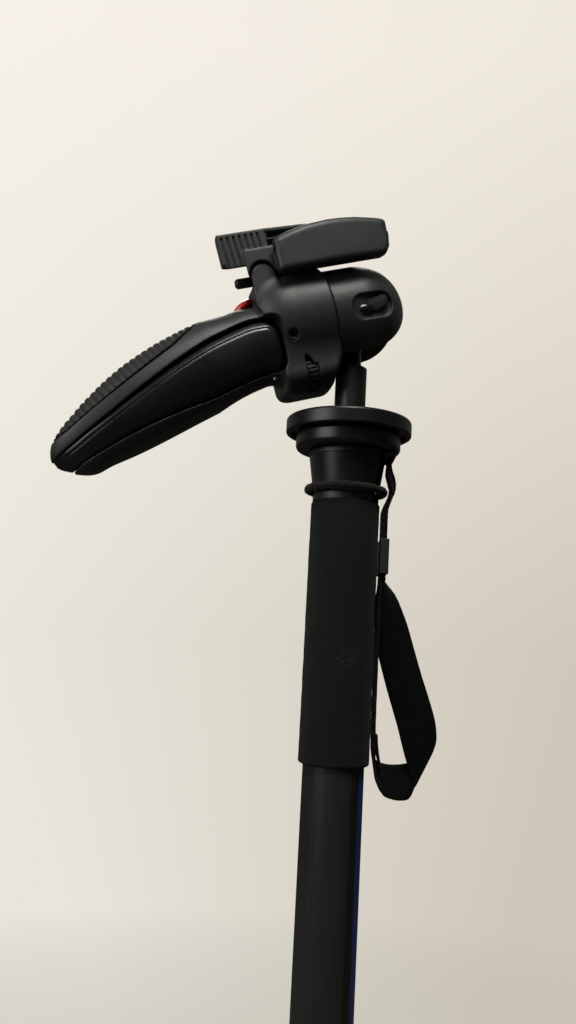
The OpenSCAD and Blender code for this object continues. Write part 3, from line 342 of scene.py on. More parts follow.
def foam_material():
    """Closed-cell foam: fine open pores, a soft bloom and a few pale scuffs."""
    s = Shader("foam")
    cells = s.add("TexVoronoi", {"Vector": s.where, "Scale": 1500.0}).outputs["Distance"]
    pores = s.math("ADD", s.ramp(cells, 0.0, 0.45), s.math("MULTIPLY", s.noise(700, 4.0), 0.9))
    patches, specks = s.ramp(s.noise(30, 5.0), 0.6, 0.72), s.ramp(s.noise(900, 3.0), 0.45, 0.65)
    scuff = s.math("MULTIPLY", s.math("MULTIPLY", patches, specks), 0.35)
    body = s.mix(s.ramp(s.noise(26, 4.0), 0.35, 0.7), tone(9, 15, 13), tone(14, 20, 17))
    s.set(Base_Color=s.mix(scuff, body, tone(84, 88, 84)), Roughness=0.92, Normal=s.bump(pores, 0.00016, 0.8),
          Sheen_Weight=0.05, Sheen_Roughness=0.6, Specular_IOR_Level=0.2)
    return s.material


def tube_material():
    """Dark satin tube with lengthwise streaks, and a plain label: black bands beside a blue one."""
    s = Shader("tube")
    streak = s.noise(1.0, 4.0, s.stretched((900, 900, 9)))
    broad = s.noise(1.0, 3.0, s.stretched((120, 120, 14)))
    axes = s.add("SeparateXYZ", {"Vector": s.where}).outputs
    turn = s.math("DIVIDE", s.math("ARCTAN2", axes[1], axes[0]), math.radians(180))
    band = s.add("ValToRGB", {"Fac": s.ramp(turn, -1, 1)})
    band.color_ramp.interpolation = "CONSTANT"
    stops = band.color_ramp.elements
    plain, black, blue = (0, 0, 0, 1), tone(20, 22, 22), tone(36, 52, 118)
    label_from, blue_from, blue_to, label_to = -66.5, -48, -8, 10
    stops[0].color = plain
    stops[1].position, stops[1].color = (180 + label_to) / 360, plain
    for degrees, colour in ((label_from, black), (blue_from, blue), (blue_to, black)):
        stop = stops.new((180 + degrees) / 360)
        stop.color = colour
    sector = s.math("COMPARE", turn, (label_from + label_to) / 2 / 180)
    sector.node.inputs[2].default_value = (label_to - label_from) / 2 / 180
    above = s.math("GREATER_THAN", axes[2], label_z0 * MM)
    below = s.math("LESS_THAN", axes[2], label_z1 * MM)
    label = s.math("MULTIPLY", sector, s.math("MULTIPLY", above, below))
    body = s.mix(s.ramp(broad, 0.3, 0.7), tone(33, 35, 34), tone(40, 42, 40))
    s.set(Base_Color=s.mix(label, body, band.outputs[0]), Roughness=s.ramp(streak, 0.2, 0.8, 0.3, 0.46),
          Normal=s.bump(streak, 0.00002, 0.6))
    return s.material


def webbing_material():
    """Black woven webbing: lengthwise ribs crossed by a fine weave, with a little fuzz."""
    s = Shader("webbing")
    s.where = s.add("UVMap").outputs[0]
    along = s.add("TexWave", {"Vector": s.where, "Scale": 500.0, "Distortion": 0.4, "Detail": 1.0},
                  bands_direction="X").outputs["Fac"]
    across = s.add("TexWave", {"Vector": s.where, "Scale": 320.0, "Distortion": 0.6, "Detail": 1.0},
                   bands_direction="DIAGONAL").outputs["Fac"]
    weave = s.math("MULTIPLY", along, across)
    body = s.mix(weave, tone(3, 3, 3), tone(10, 10, 10))
    fuzz = s.ramp(s.noise(140, 4.0), 0.5, 0.8)
    s.set(Base_Color=s.mix(fuzz, body, tone(14, 14, 14)), Roughness=0.85, Normal=s.bump(weave, 0.00012, 0.9),
          Sheen_Weight=0.03, Sheen_Roughness=0.5, Specular_IOR_Level=0.1)
    return s.material


def cord_material():
    """Dull black cord with fine strands."""
    s = Shader("cord")
    strand = s.noise(1.0, 3.0, s.stretched((1500, 1500, 3000)))
    s.set(Base_Color=s.mix(strand, tone(8, 8, 8), tone(28, 27, 26)), Roughness=0.95,
          Normal=s.bump(strand, 0.0001, 0.8), Sheen_Weight=0.2, Specular_IOR_Level=0.15)
    return s.material


foam_low, foam_high = node_box("foam_grip")
label_gap, label_drop = 1.5, 172
label_z0, label_z1 = foam_low[2] - label_drop, foam_low[2] - label_gap
gloss, foam, tube = gloss_material(), foam_material(), tube_material()
webbing, cord = webbing_material(), cord_material()
tube_plain = surface("tube_plain", tone(37, 39, 38), 0.36, grain=2600, depth=0.00001, patch=30)

# Head: sizes in its own frame, within a few mm of those in the CAD source

handle_l, handle_h, handle_w, handle_slope, handle_bend = 100, 21, 18, 0.2, 0.0016
root_x, root_z, squareness, tip_min = -55.5, -8.5, 2.4, 1.6
tip_full, tip_full_s, tip_full_l = 2.1, 89.5, 6.3
taper_power, taper_root, taper_end = 4, 0.55, 0.998
cup_r, cup_drop, seam_x, roll_max = 23.5, 1.4, 16.2, math.radians(15)
body_r, ball_room = cup_r + 0.9, 17.3
chin_z, chin_x, chin_w, chin_round = 37, 44.8, 17, 13
horn_x, horn_z, horn_r, horn_w, horn_lean = -44, 20.5, 6, 17.5, 0.24
trigger_x1, pocket_floor, pad_t, rib_pitch, rib_h = -43.5, 6.5, 2.0, 3.0, 0.6
# Heights above the handle's middle, and depths under its full form, along the handle
trigger_top = ((-2, 7.5), (20, 6.6), (37, 4.6), (55, 2.4), (72, 0.8), (89, 0.3), (110, 1.2))
trigger_low = ((-2, -16.2), (28, -16.2), (93, -7.6), (110, -9))
pad_sink = ((15, -0.2), (37, 0.0), (54, 0.6), (72, 1.8), (82, 1.9), (93, 0.5))
root_over, root_under = ((5, 1.9), (10, 1.3), (17, 0)), ((8, 2.4), (14, 1.8), (26, 0))
pad_edge = [(-79.5, 5), (-92, -4.1), (-146, -32), (-164, -38.5), (-183, -3.5), (-98.5, 40)]
clamp_z, clamp_w, clamp_x0, clamp_x1, block_x1 = 42.6, 17, -61.5, 12, -38
clamp_bottom, floor_z = clamp_z - 17, clamp_z - 5
tray_x0, tray_x1, tray_y = -37, 9.3, 14.3
saddle_x0, saddle_x1, saddle_w, saddle_in, saddle_z0 = -51.5, -31, 19, 9.9, 21
lever_x, lever_r, lever_l, lever_h, lever_z0 = -35, 3.8, 56.5, 21.0, 17.4
lever_gap = 0.6
lever_y = -saddle_w - lever_gap - lever_r
lug_r, lug_z, lug_h = 2.1, 25, 4
badge_x, badge_z, badge_r, badge_h, badge_lean = -54, 11.8, 6.6, 2.6, math.radians(30)


def taper(s):
    """Share of the handle's full size that is left at a distance along it."""
    u = np.clip(s, 0, taper_end * handle_l) / handle_l
    return np.maximum(1 - u ** taper_power, 0) ** taper_root


def handle_z(s):
    """Height of the handle's bent middle line."""
    return root_z - handle_slope * s - handle_bend * s * s


def handle_lean(s):
    """Slope of the middle line, as an angle."""
    return np.arctan(handle_slope + 2 * handle_bend * s)


def along_handle(s, stations):
    """Value at s of a list of (s, value)."""
    return np.interp(s, *zip(*stations))


def handle_frame(x, z):
    """Distance along the handle, and height above its middle, of points in the side view."""
    rounds, before, past, line_end = 6, -70, 1.4 * handle_l, 1.3 * handle_l
    s = root_x - x
    for _ in range(rounds):
        along = np.clip(s, 0, line_end)
        lean = handle_lean(along)
        up = (z - handle_z(along)) / np.cos(lean)
        s = np.clip(root_x - x - up * np.sin(lean), before, past)
    return s, up


def handle(x, y, z, grow=0.0):
    """Tapering bar along the middle line, fuller under its tip and slimmer at its root."""
    far_y, far_w, least_share, least_fall = -6, 10, 0.05, 0.004
    s, up = handle_frame(x, z)
    k = taper(s)
    u = np.clip(s / handle_l, 0, taper_end)
    fall = np.maximum(1 - u ** taper_power, least_fall) ** (taper_root - 1)
    steep = handle_h * taper_power * taper_root * u ** (taper_power - 1) / handle_l * fall
    tip = tip_full * np.exp(-((s - tip_full_s) / tip_full_l) ** 2)
    far_side = ease(y, far_y, far_w)
    fuller = np.where(up < 0, tip - far_side * along_handle(s, root_under), -along_handle(s, root_over))
    tall = handle_h + fuller / np.maximum(k, least_share)
    h, w = (np.maximum(tip_min, size * k + grow) for size in (tall, handle_w))
    reach = np.hypot(up, y) + 1e-6
    share = ((np.abs(up) / h) ** squareness + (np.abs(y) / w) ** squareness) ** (1 / squareness)
    d = (reach - reach / np.maximum(share, 1e-3)) / np.sqrt(1 + steep ** 2)
    return np.maximum(d, s - handle_l - np.maximum(grow, 0))


def housing(x, y, z, grow=0.0):
    """Barrel round the ball that closes in an arc to a neck at its back."""
    full, back, neck, bend = -33, -49.8, 15, 0.98
    t = np.clip((full - x) / (full - back), 0, 1)
    bow = np.sqrt(1 - bend * t * t)
    steep = (body_r - neck) * bend * t / bow / (full - back)
    d = (np.hypot(y, z) - neck - (body_r - neck) * bow - grow) / np.sqrt(1 + steep ** 2)
    return cut(np.maximum(d, back - grow - x), x + seam_x, 0.7)


def horn_side(x, y, z):
    """Flanks and round top of the horn, which lean a little from side to side."""
    foot_z = 8
    return np.hypot(x - horn_x - horn_lean * (y + horn_w), z - np.clip(z, foot_z, horn_z)) - horn_r


def horn(x, y, z):
    """Boss that lies across the top of the housing."""
    return cut(horn_side(x, y, z), np.abs(y) - horn_w, 1.5)


def chin(x, y, z):
    """Block under the housing; its end towards the leg is upright when the head is at rest."""
    r, top, flank = 5.0, -22, -24
    near_x = -seam_x - (chin_z + top) * math.tan(head_tilt)
    side = [(-seam_x, 0), (-chin_x, 0), (-chin_x, flank)]
    side += arc(-chin_x + r, -chin_z + r, r, 180, 270) + arc(near_x - r, -chin_z + r, r, -90, 0)
    side.append((-seam_x, top))
    d = cut(outline(x, z, side), np.abs(y) - chin_w, 2.0)
    return cut(d, np.hypot(y, z + chin_round) - chin_z + chin_round, 2.0)


def trigger_outline(top, end, below):
    """Outline of the trigger in the side view, moved out by gaps; the top one narrows to the tip."""
    corner, s0, s1, steps, narrows = 6.0, -2.0, handle_l + 8, 24, 0.7
    nose_in, nose_up, nose_out = 2.5, 3, 0.4
    x1 = trigger_x1 + end

    def edge(s, stations, gap):
        along, up = max(s, 0), along_handle(s, stations)
        lean = handle_lean(along)
        return root_x - s - up * math.sin(lean), handle_z(along) + up * math.cos(lean) + gap

    spots = np.linspace(s0, s1, steps)
    high = [edge(s, trigger_top, top * (1 - narrows * max(s, 0) / s1)) for s in spots]
    low = [edge(s, trigger_low, -below) for s in spots[::-1]]
    root_low, root = low[-1][1], high[0][1]
    nose = [(x1 - nose_in, root_low), (x1 - nose_out, root_low + nose_up)]
    return high + low + nose + arc(x1 - corner, root - corner, corner, 0, 90)


def grip_body(x, y, z):
    """Casting of the grip, less the ball's room, the seats of other pieces and two openings."""
    pocket = outline(x, z, trigger_outline(top=1.9, end=1.5, below=0.5))
    d = join(housing(x, y, z), handle(x, y, z), 2.0)
    d = join(d, horn(x, y, z), 2.5)
    d = join(d, chin(x, y, z), 3.5)
    d = cut(d, x + seam_x, 0.8)
    d = np.maximum(d, ball_room - np.sqrt(x * x + y * y + z * z))
    d = cut(d, -np.maximum(pocket, y - pocket_floor), 0.7)
    s, _ = handle_frame(x, z)
    recess = np.maximum(outline(x, z, pad_edge), -handle(x, y, z, -pad_t - along_handle(s, pad_sink)))
    d = cut(d, -recess, 0.4)
    set_x, set_y, set_z, set_r = -38, -13, -11, 2.35
    d = cut(d, -np.maximum(np.hypot(x - set_x, z - set_z) - set_r, y - set_y), 0.5)
    leaf = [(-34.5, -33), (-28.6, -33), (-29.4, -28), (-31.2, -23), (-33.2, -20.2), (-34.4, -21.2)]
    wheel_x, wheel_y, wheel_z, wheel_r, wheel_w = -31.5, -8, -27, 8.8, 2.8
    d = cut(d, -np.maximum(outline(x, z, leaf), y - wheel_y), 0.6)
    wheel = np.maximum(np.hypot(y - wheel_y, z - wheel_z) - wheel_r, np.abs(x - wheel_x) - wheel_w)
    d = np.maximum(d, -wheel)
    badge_gap, badge_seat = 0.2, 0.4 * badge_h
    along, height = turned(x - badge_x, z - badge_z, badge_lean)
    return cut(d, -np.maximum(np.hypot(along, y) - badge_r - badge_gap, badge_seat - height), 0.4)


def trigger_field(x, y, z):
    """Glossy shell on the handle: a bevelled rim, a fine line inside it, and a lower tip."""
    full, shell_t, inner_y = 0.3, 3.2, -1
    rim_low, rim_rise, rim_w = -0.7, 0.75, 0.3
    bevel_root, bevel_less, round_root, round_less = 3.2, 1.6, 1.6, 1.1
    line_in, line_w, line_h, tip_low = 0.5, 0.45, 0.28, 0.5
    edge = outline(x, z, trigger_outline(0, 0, 0))
    s, _ = handle_frame(x, z)
    rim = rim_low + rim_rise * ease(s, 45, 35)
    bevel = bevel_root - bevel_less * ease(s, 0, handle_l)
    rise = np.clip((-edge - rim_w) / bevel, 0, 1)
    line = np.exp(-((edge + bevel + line_in) / line_w) ** 2)
    grow = rim + (full - rim) * rise * rise * (3 - 2 * rise) - line_h * line - tip_low * ease(s, 93, 6)
    d = cut(handle(x, y, z, grow), edge, round_root - round_less * ease(s, 70, 20))
    d = np.maximum(d, -handle(x, y, z, -shell_t))
    return np.maximum(d, y - inner_y)


def palm_pad(x, y, z):
    """Rubber pad with flat-topped ribs and narrow grooves between them."""
    s, _ = handle_frame(x, z)
    first, last, seam, groove_w = 15, 93, 0.8, 0.2
    sink = along_handle(s, pad_sink)
    phase = (s - first) / rib_pitch
    from_groove = np.abs(phase - np.round(phase))
    groove = np.where((s > first - 1) & (s < last), np.exp(-(from_groove / groove_w) ** 2), 0)
    d = np.maximum(handle(x, y, z, -sink - rib_h * groove), -handle(x, y, z, -pad_t - sink))
    return cut(d, outline(x, z, pad_edge) + seam, 0.6)


def ball_cup(x, y, z):
    """Round cup over the ball, with a slot for the neck that widens downwards, and a dish in each side."""
    gap, neck, slot_x = 0.12, 4.9, -14.6
    dish_turn, dish_lean = math.radians(8), math.radians(13)
    dish_x, dish_left, dish_right, dish_r, dish_in, dish_floor = 1.8, -4.5, 5, 5.9, 4, -0.9
    d = cut(np.sqrt(y * y + (z + cup_drop) ** 2 + np.maximum(x, 0) ** 2) - cup_r, -x - seam_x + gap, 0.5)
    d = np.maximum(d, ball_room - np.sqrt(x * x + y * y + z * z))
    half = neck / math.cos(roll_max)
    slot = (np.abs(y) - half - np.maximum(-z, 0) * math.tan(roll_max)) * math.cos(roll_max)
    d = cut(d, -np.maximum(np.maximum(slot, z - neck), slot_x - x), 0.7)
    for side in (1, -1):
        out, up = turned(y * side, z + cup_drop, dish_turn)
        along, out = turned(x - dish_x, out + cup_r - dish_in, dish_lean)
        dish = np.hypot(along - np.clip(along, dish_left, dish_right), up) - dish_r
        d = cut(d, -cut(dish, out - dish_floor, 1.2), 0.7)
    return d


def slanted_end(x, y, x0, half, inset):
    """How far points lie past an end face that starts at x0 on one side and is inset on the other."""
    slant = math.atan(inset / (2 * half))
    return (x0 - x) * math.cos(slant) + (y + half) * math.sin(slant)


def clamp_block(x, y, z, top):
    """Block of the clamp with slanted end and underside, and grooves that leave ribs on its sides."""
    end_out, end_in, slope = 1.2, 7.2, math.radians(25)
    ribs, rib_x, rib_step, rib_w, rib_top, rib_lean, groove_t = 7, 1.6, 2.9, 2.0, 1.6, 0.06, 0.8
    corner_up, corner_in, draft = 3, 2, 0.2
    block = [(block_x1, top), (clamp_x0, top), (clamp_x0 + draft, clamp_bottom + corner_up),
             (clamp_x0 + corner_in, clamp_bottom), (block_x1, clamp_bottom)]
    d = cut(outline(x, z, block), np.abs(y) - clamp_w, 0.9)
    under = (clamp_bottom - z) * math.cos(slope) + (y + clamp_w) * math.sin(slope)
    d = cut(d, under, 0.8)
    d = cut(d, slanted_end(x, y, clamp_x0 - end_out, clamp_w, end_in), 0.8)
    half = (rib_step - rib_w) / 2
    for i in range(ribs):
        middle = clamp_x0 + rib_x + i * rib_step + half - (z - clamp_z) * rib_lean
        groove = np.maximum(np.abs(x - middle) - half, z - clamp_z + rib_top)
        d = cut(d, -np.maximum(groove, clamp_w - groove_t - np.abs(y)), 0.35)
    return d


def clamp_floor(x, y, z):
    """Floor of the clamp, thinner towards its sides, with a low wall at its end and one at its back."""
    floor_x, floor_t, overlap, wall_foot, end_drop, back_drop = -40, 2.9, 0.3, 2, 2.6, 1.2
    keel_y, keel_slope, keel_scale = 7, 0.23, 0.97
    under = floor_z - floor_t
    d = box_field(x, y, z, (floor_x, -clamp_w, under), (clamp_x1, clamp_w, floor_z + overlap))
    d = cut(d, (under - z + (np.abs(y) - keel_y) * keel_slope) * keel_scale, 0.6)
    for wall_x, wall_y, drop in ((tray_x1, -clamp_w, end_drop), (tray_x0, tray_y, back_drop)):
        low, high = (wall_x, wall_y, floor_z - wall_foot), (clamp_x1, clamp_w, clamp_z - drop)
        d = np.minimum(d, box_field(x, y, z, low, high, 0.6))
    return d


def clamp_saddle(x, y, z):
    """Saddle under the clamp that fits the grip, with the lever's lug and a hole for the catch."""
    step_z, riser_w, horn_gap, grip_gap = clamp_bottom + 8, 15, 0.25, 0.5
    catch_y, catch_z, catch_r, lug_root = -6, 21.5, 2.9, 3
    far_x = 2 * saddle_x0
    saddle = box_field(x, y, z, (far_x, -saddle_w, saddle_z0), (saddle_x1, saddle_w, step_z), 1.6)
    riser = box_field(x, y, z, (far_x, -riser_w, saddle_z0), (saddle_x1, riser_w, floor_z))
    saddle = cut(np.minimum(saddle, riser), slanted_end(x, y, saddle_x0, saddle_w, saddle_in), 1.6)
    bridge = np.maximum(np.abs(x - lever_x) - lug_r, np.maximum(lever_y - y, y + saddle_w - lug_root))
    lug = np.minimum(np.hypot(x - lever_x, y - lever_y) - lug_r, bridge)
    saddle = np.minimum(saddle, np.maximum(lug, np.abs(z - lug_z) - lug_h))
    saddle = cut(saddle, horn_gap - horn_side(x, y, z), 0.5)
    saddle = np.maximum(saddle, -housing(x, y, z, grip_gap))
    saddle = np.maximum(saddle, -handle(x, y, z, grip_gap))
    return np.maximum(saddle, catch_r - np.hypot(y - catch_y, z - catch_z))


def clamp_base(x, y, z):
    """Body of the clamp: block, floor and saddle, less the plate's tray, and a lip along the tray."""
    top, over, past = clamp_z + 0.3, 60, 5
    lip_x, lip_y, lip_t, lip_root, lip_from, lip_slope = -12, -14.2, 1.6, 2, -42.5, 0.09
    d = np.minimum(clamp_block(x, y, z, top), clamp_floor(x, y, z))
    d = np.minimum(d, clamp_saddle(x, y, z))
    tray = box_field(x, y, z, (tray_x0, -clamp_w - past, floor_z), (tray_x1, tray_y, over), 0.3)
    lip = box_field(x, y, z, (block_x1 - lip_root, -clamp_w, clamp_z - lip_t), (lip_x, lip_y, top), 0.5)
    lip = cut(lip, -clamp_w + lip_slope * (x - lip_from) - y, 0.4)
    return np.minimum(np.maximum(d, -tray), lip)


def clamp_lever(x, y, z):
    """Lever on the near side of the clamp, with a slot round its lug."""
    belly, gap, slot_back, upper_round, lower_round = 1.2, 0.3, 1.7, 4.0, 2.6
    reach = lever_l - lever_r
    shape = [(-0.08, 0), (0.888, 0), (0.938, 0.046), (0.972, 0.167), (0.992, 0.421), (1, 0.75),
             (0.979, 0.824), (0.926, 0.866), (0.841, 0.907), (0.718, 0.963), (0.586, 0.991), (0.454, 1),
             (0.265, 0.968), (0.094, 0.889), (-0.08, 0.76)]
    side = outline(x, z, [(lever_x + reach * u, lever_z0 + lever_h * v) for u, v in shape])
    t = np.clip((x - lever_x) / reach, 0, 1)
    front = lever_y - lever_r - belly * np.sin(math.pi * t) - y
    back = y - lever_y - lever_r
    left = np.hypot(x - lever_x, y - lever_y) - lever_r
    flat = np.where(x < lever_x, left, np.maximum(front, back))
    d = cut(side, flat, np.where(z > lever_z0 + lever_h / 2, upper_round, lower_round))
    slot_y = np.where(x < lever_x, lever_y - slot_back, lever_y)
    slot = np.maximum(slot_y - y, x - lever_x - lug_r - gap)
    slot = np.minimum(slot, np.hypot(x - lever_x, y - lever_y) - lug_r - gap)
    return np.maximum(d, -np.maximum(slot, np.abs(z - lug_z) - lug_h - gap))


detail = 0.45
forms = {
    "grip_body": (grip_body, (-159, -27, -57), (-14, 27, 30), "head", "casting", casting),
    "trigger": (trigger_field, (-159, -22, -56), (-40, 1, 6), "trigger", "gloss", gloss),
    "palm_pad": (palm_pad, (-157, -21, -46), (-74, 21, 16), "head", "rubber", rubber),
    "ball_cup": (ball_cup, (-18, -26, -26), (26, 26, 26), "head", "casting", casting),
    "clamp_base": (clamp_base, (-68, -30, 16), (15, 20, 45), "head", "casting", casting),
    "clamp_lever": (clamp_lever, (-42, -32, 13), (20, -16, 41), "clamp_lever", "casting", casting),
}
for node, (field, low, high, body, slot, material) in forms.items():
    points, faces = field_mesh(field, low, high, detail)
    piece(node + "_form", head_to_row(points), faces, body, material, [node])


def mound(centre, half):
    """Whole ellipsoid with its half axes, in the head's frame."""
    around, rings = 48, 16
    a = np.linspace(0, 2 * math.pi, around, endpoint=False)
    h = np.linspace(-math.pi / 2, math.pi / 2, rings + 1)[1:-1]
    rings_at = [(math.cos(v), math.sin(v)) for v in h]
    points = [np.stack([np.cos(a) * r, np.full(around, up), np.sin(a) * r], 1) for r, up in rings_at]
    points = np.concatenate(points + [[(0, -1, 0), (0, 1, 0)]]) * half + centre
    next_to = [(j, (j + 1) % around) for j in range(around)]
    last, low_pole = (len(h) - 1) * around, len(h) * around
    faces = [(i + j, i + around + j, i + around + k, i + k)
             for i in range(0, last, around) for j, k in next_to]
    faces += [(low_pole, j, k) for j, k in next_to]
    faces += [(low_pole + 1, last + k, last + j) for j, k in next_to]
    return points, faces


def dish_screws():
    """Dull black cap of painted shade that fills the floor of each dish, and a glossy dome low on it."""
    cap_x, cap_y, cap_z, cap_half = 1.8, 19.8, -1.8, (9.2, 1.1, 5.4)
    dome_x, dome_y, dome_z, dome_half = -1.4, 20.2, -5.2, (4.6, 1.8, 2.9)
    # Caps: near-black sheets that paint the shade on each dish's floor
    points, faces = gather([mound((cap_x, side * cap_y, cap_z), cap_half) for side in (-1, 1)])
    piece("dish_shade_caps", head_to_row(points), faces, "head", shade_black)
    points, faces = gather([mound((dome_x, side * dome_y, dome_z), dome_half) for side in (-1, 1)])
    piece("dish_screws", head_to_row(points), faces, "head", dome_black, ["cup_screws"])


def badge_cap():
    """Bare red cap, slightly domed, on the root of the handle."""
    points, faces = mound((0, 0, 0), (badge_r, badge_h, badge_r))
    along, up, y = points.T
    x, z = turned(along, up, -badge_lean)
    points = np.stack([badge_x + x, y, badge_z + z], 1)
    piece("badge_cap", head_to_row(points), [f[::-1] for f in faces], "head", red, ["badge"])


# Leg: foam, cord and strap

rng = np.random.default_rng(11)


def soft_noise(shape, passes):
    """Random grid, smoothed along both sides and wrapped round the first, from about -1 to 1."""
    a = rng.normal(size=shape)
    for _ in range(passes):
        a = (a + np.roll(a, 1, 0) + np.roll(a, -1, 0)) / 3
        a[:, 1:-1] = (a[:, 1:-1] + a[:, :-2] + a[:, 2:]) / 3
    return np.clip(a / a.std() / 2, -1, 1)


def foam_sleeve():
    """Foam round the top tube, with soft ends and slight dents."""
    around, rows, soft, gap, hollow, fine, broad = 220, 300, 1.4, 0.02, 0.3, 0.05, 0.1
    r_in, r_out = node_box("upper_tube")[1][0] + gap, foam_high[0]
    z0, z1 = foam_low[2], foam_high[2]
    edge, low_end, high_end = r_out - soft, z0 + soft, z1 - soft
    low_sweep, high_sweep = np.linspace(0, 1.4, 8), np.linspace(0.17, 1.57, 8)
    low = [(edge + soft * math.sin(a), low_end - soft * math.cos(a)) for a in low_sweep]
    high = [(edge + soft * math.cos(a), high_end + soft * math.sin(a)) for a in high_sweep]
    side = [(r_out, z) for z in np.linspace(low_end, high_end, rows)]
    profile = [(r_in, z0 + hollow)] + low + side + high + [(r_in, z1 - hollow)]
    points, faces = lathe(profile, around)
    grid = (around, len(profile))
    bumps = fine * soft_noise(grid, passes=5) + broad * soft_noise(grid, passes=60) - broad
    bumps[:, [0, -1]] = 0
    r = np.hypot(points[:, 0], points[:, 1])
    points[:, :2] *= ((r + bumps.ravel()) / r)[:, None]
    grip = piece("foam_sleeve", points, faces, "leg", foam, ["foam_grip"])


def tube_along(path, radius, sides, closed=False):
    """Round tube along a list of points."""
    path = np.asarray(path)
    n = len(path)
    if closed:
        along = np.roll(path, -1, 0) - np.roll(path, 1, 0)
    else:
        along = np.gradient(path, axis=0)
    along /= np.linalg.norm(along, axis=1)[:, None]
    steep = np.abs(along[:, 2:]) > 0.9
    guide = np.where(steep, np.array([[1.0, 0, 0]]), np.array([[0, 0, 1.0]]))
    a = np.cross(along, guide)
    a /= np.linalg.norm(a, axis=1)[:, None]
    b = np.cross(along, a)
    turns = np.linspace(0, 2 * math.pi, sides, endpoint=False)
    radius = np.broadcast_to(radius, n)
    rings = path[:, None] + radius[:, None, None] * (np.cos(turns)[None, :, None] * a[:, None]
                                                     + np.sin(turns)[None, :, None] * b[:, None])
    faces = []
    for i in range(n if closed else n - 1):
        here, after = i * sides, (i + 1) % n * sides
        for k in range(sides):
            beside = (k + 1) % sides
            faces.append((here + k, here + beside, after + beside, after + k))
    if not closed:
        faces += [tuple(range(sides))[::-1], tuple((n - 1) * sides + k for k in range(sides))]
    return rings.reshape(-1, 3), faces


def gather(parts):
    """Several meshes as one."""
    points, faces, start = [], [], 0
    for p, f in parts:
        points.append(p)
        faces += [tuple(start + i for i in face) for face in f]
        start += len(p)
    return np.concatenate(points), faces


def about_z(points, angle):
    """Points turned about the leg."""
    c, s = math.cos(angle), math.sin(angle)
    return points @ np.array([[c, -s, 0], [s, c, 0], [0, 0, 1]]).T


def cord_wrap():
    """Three fuzzy strands twisted round the groove, with loose fibres."""
    low, high = node_box("cord_ring")
    thick = high[2] - low[2]
    ring_r, middle = high[0] - thick / 2, (low[2] + high[2]) / 2
    strands, strand_r, lay, turns, steps = 3, 0.27 * thick, 0.25 * thick, 34, 520
    sag_deep, sag_from = 0.075, math.radians(170)
    fibres, fibre_rows, fibre_thick, fibre_thin, rooted = 700, 5, 0.045, 0.02, 0.47 * thick
    t = np.linspace(0, 2 * math.pi, steps, endpoint=False)
    sag = -sag_deep * (1 - np.cos(t - sag_from))
    parts = []
    for strand in range(strands):
        a = turns * t + 2 * math.pi * strand / strands
        r = ring_r + lay * np.cos(a)
        path = np.stack([r * np.cos(t), r * np.sin(t), middle + sag + lay * np.sin(a)], 1)
        thin = strand_r * (1 + 0.12 * np.sin(9 * t + strand) + 0.08 * rng.normal(size=steps))
        parts.append(tube_along(path, thin, 10, closed=True))
    for _ in range(fibres):
        a, b, length = rng.uniform(0, 2 * math.pi), rng.uniform(-1.4, 1.9), rng.uniform(0.6, 1.9)
        root = np.array([ring_r + rooted * math.cos(b), 0, middle + rooted * math.sin(b)])
        way = np.array([0.7 * math.cos(b), rng.normal() * 0.8, 0.7 * math.sin(b)]) + rng.normal(size=3) * 0.3
        curl = rng.normal(size=3) * 0.5
        q = np.linspace(0, 1, fibre_rows)[:, None]
        hair = root + length * (way * q * 0.5 + curl * q * q * 0.5)
        parts.append(tube_along(about_z(hair, a), np.linspace(fibre_thick, fibre_thin, fibre_rows), 3))
    points, faces = gather(parts)
    piece("cord_wrap", points, faces, "leg", cord, ["cord_ring"])


def spline(p, steps):
    """Smooth curve through stations."""
    p = np.asarray(p, float)
    n = len(p) - 1
    out = []
    for i in range(n):
        a, b, c, d = p[max(i - 1, 0)], p[i], p[i + 1], p[min(i + 2, n)]
        for t in np.linspace(0, 1, steps, endpoint=False):
            out.append(0.5 * (2 * b + (c - a) * t + (2 * a - 5 * b + 4 * c - d) * t ** 2
                              + (3 * b - 3 * c + d - a) * t ** 3))
    return np.array(out + [p[n]])


# Strap: how far parts of it lie out from the foam, and the drop of its tongue under the disc

web_w, web_t, strap_turn = 17.5, 1.2, math.radians(-11)
disc_top = node_box("base_disc")[1][2]
foam_r = foam_high[0]
neck_r, tab_gap, cord_gap, inner_gap = 18.1, 1.9, 0.3, 0.5
slider_gap, slider_t, slider_play = 0.35, 0.7, 0.1
slider_out = slider_gap + slider_t + slider_play + web_t
inner_out = inner_gap + web_t / 2
tab_out = neck_r + tab_gap - foam_r
ring_low, ring_high = node_box("strap_ring")
tongue = disc_top - (ring_low[2] + ring_high[2]) / 2
cord_out = node_box("cord_ring")[1][0] + cord_gap + web_t - foam_r


def strap_place(stations):
    """Stations [out from the foam, sideways, drop, width direction] as middles and half-width arrows."""
    mid = np.stack([foam_r + stations[:, 0], stations[:, 1], disc_top - stations[:, 2]], 1)
    half = stations[:, 3:] * (1, 1, -1)
    half *= web_w / 2 / np.linalg.norm(half, axis=1)[:, None]
    return about_z(mid, strap_turn), about_z(half, strap_turn)


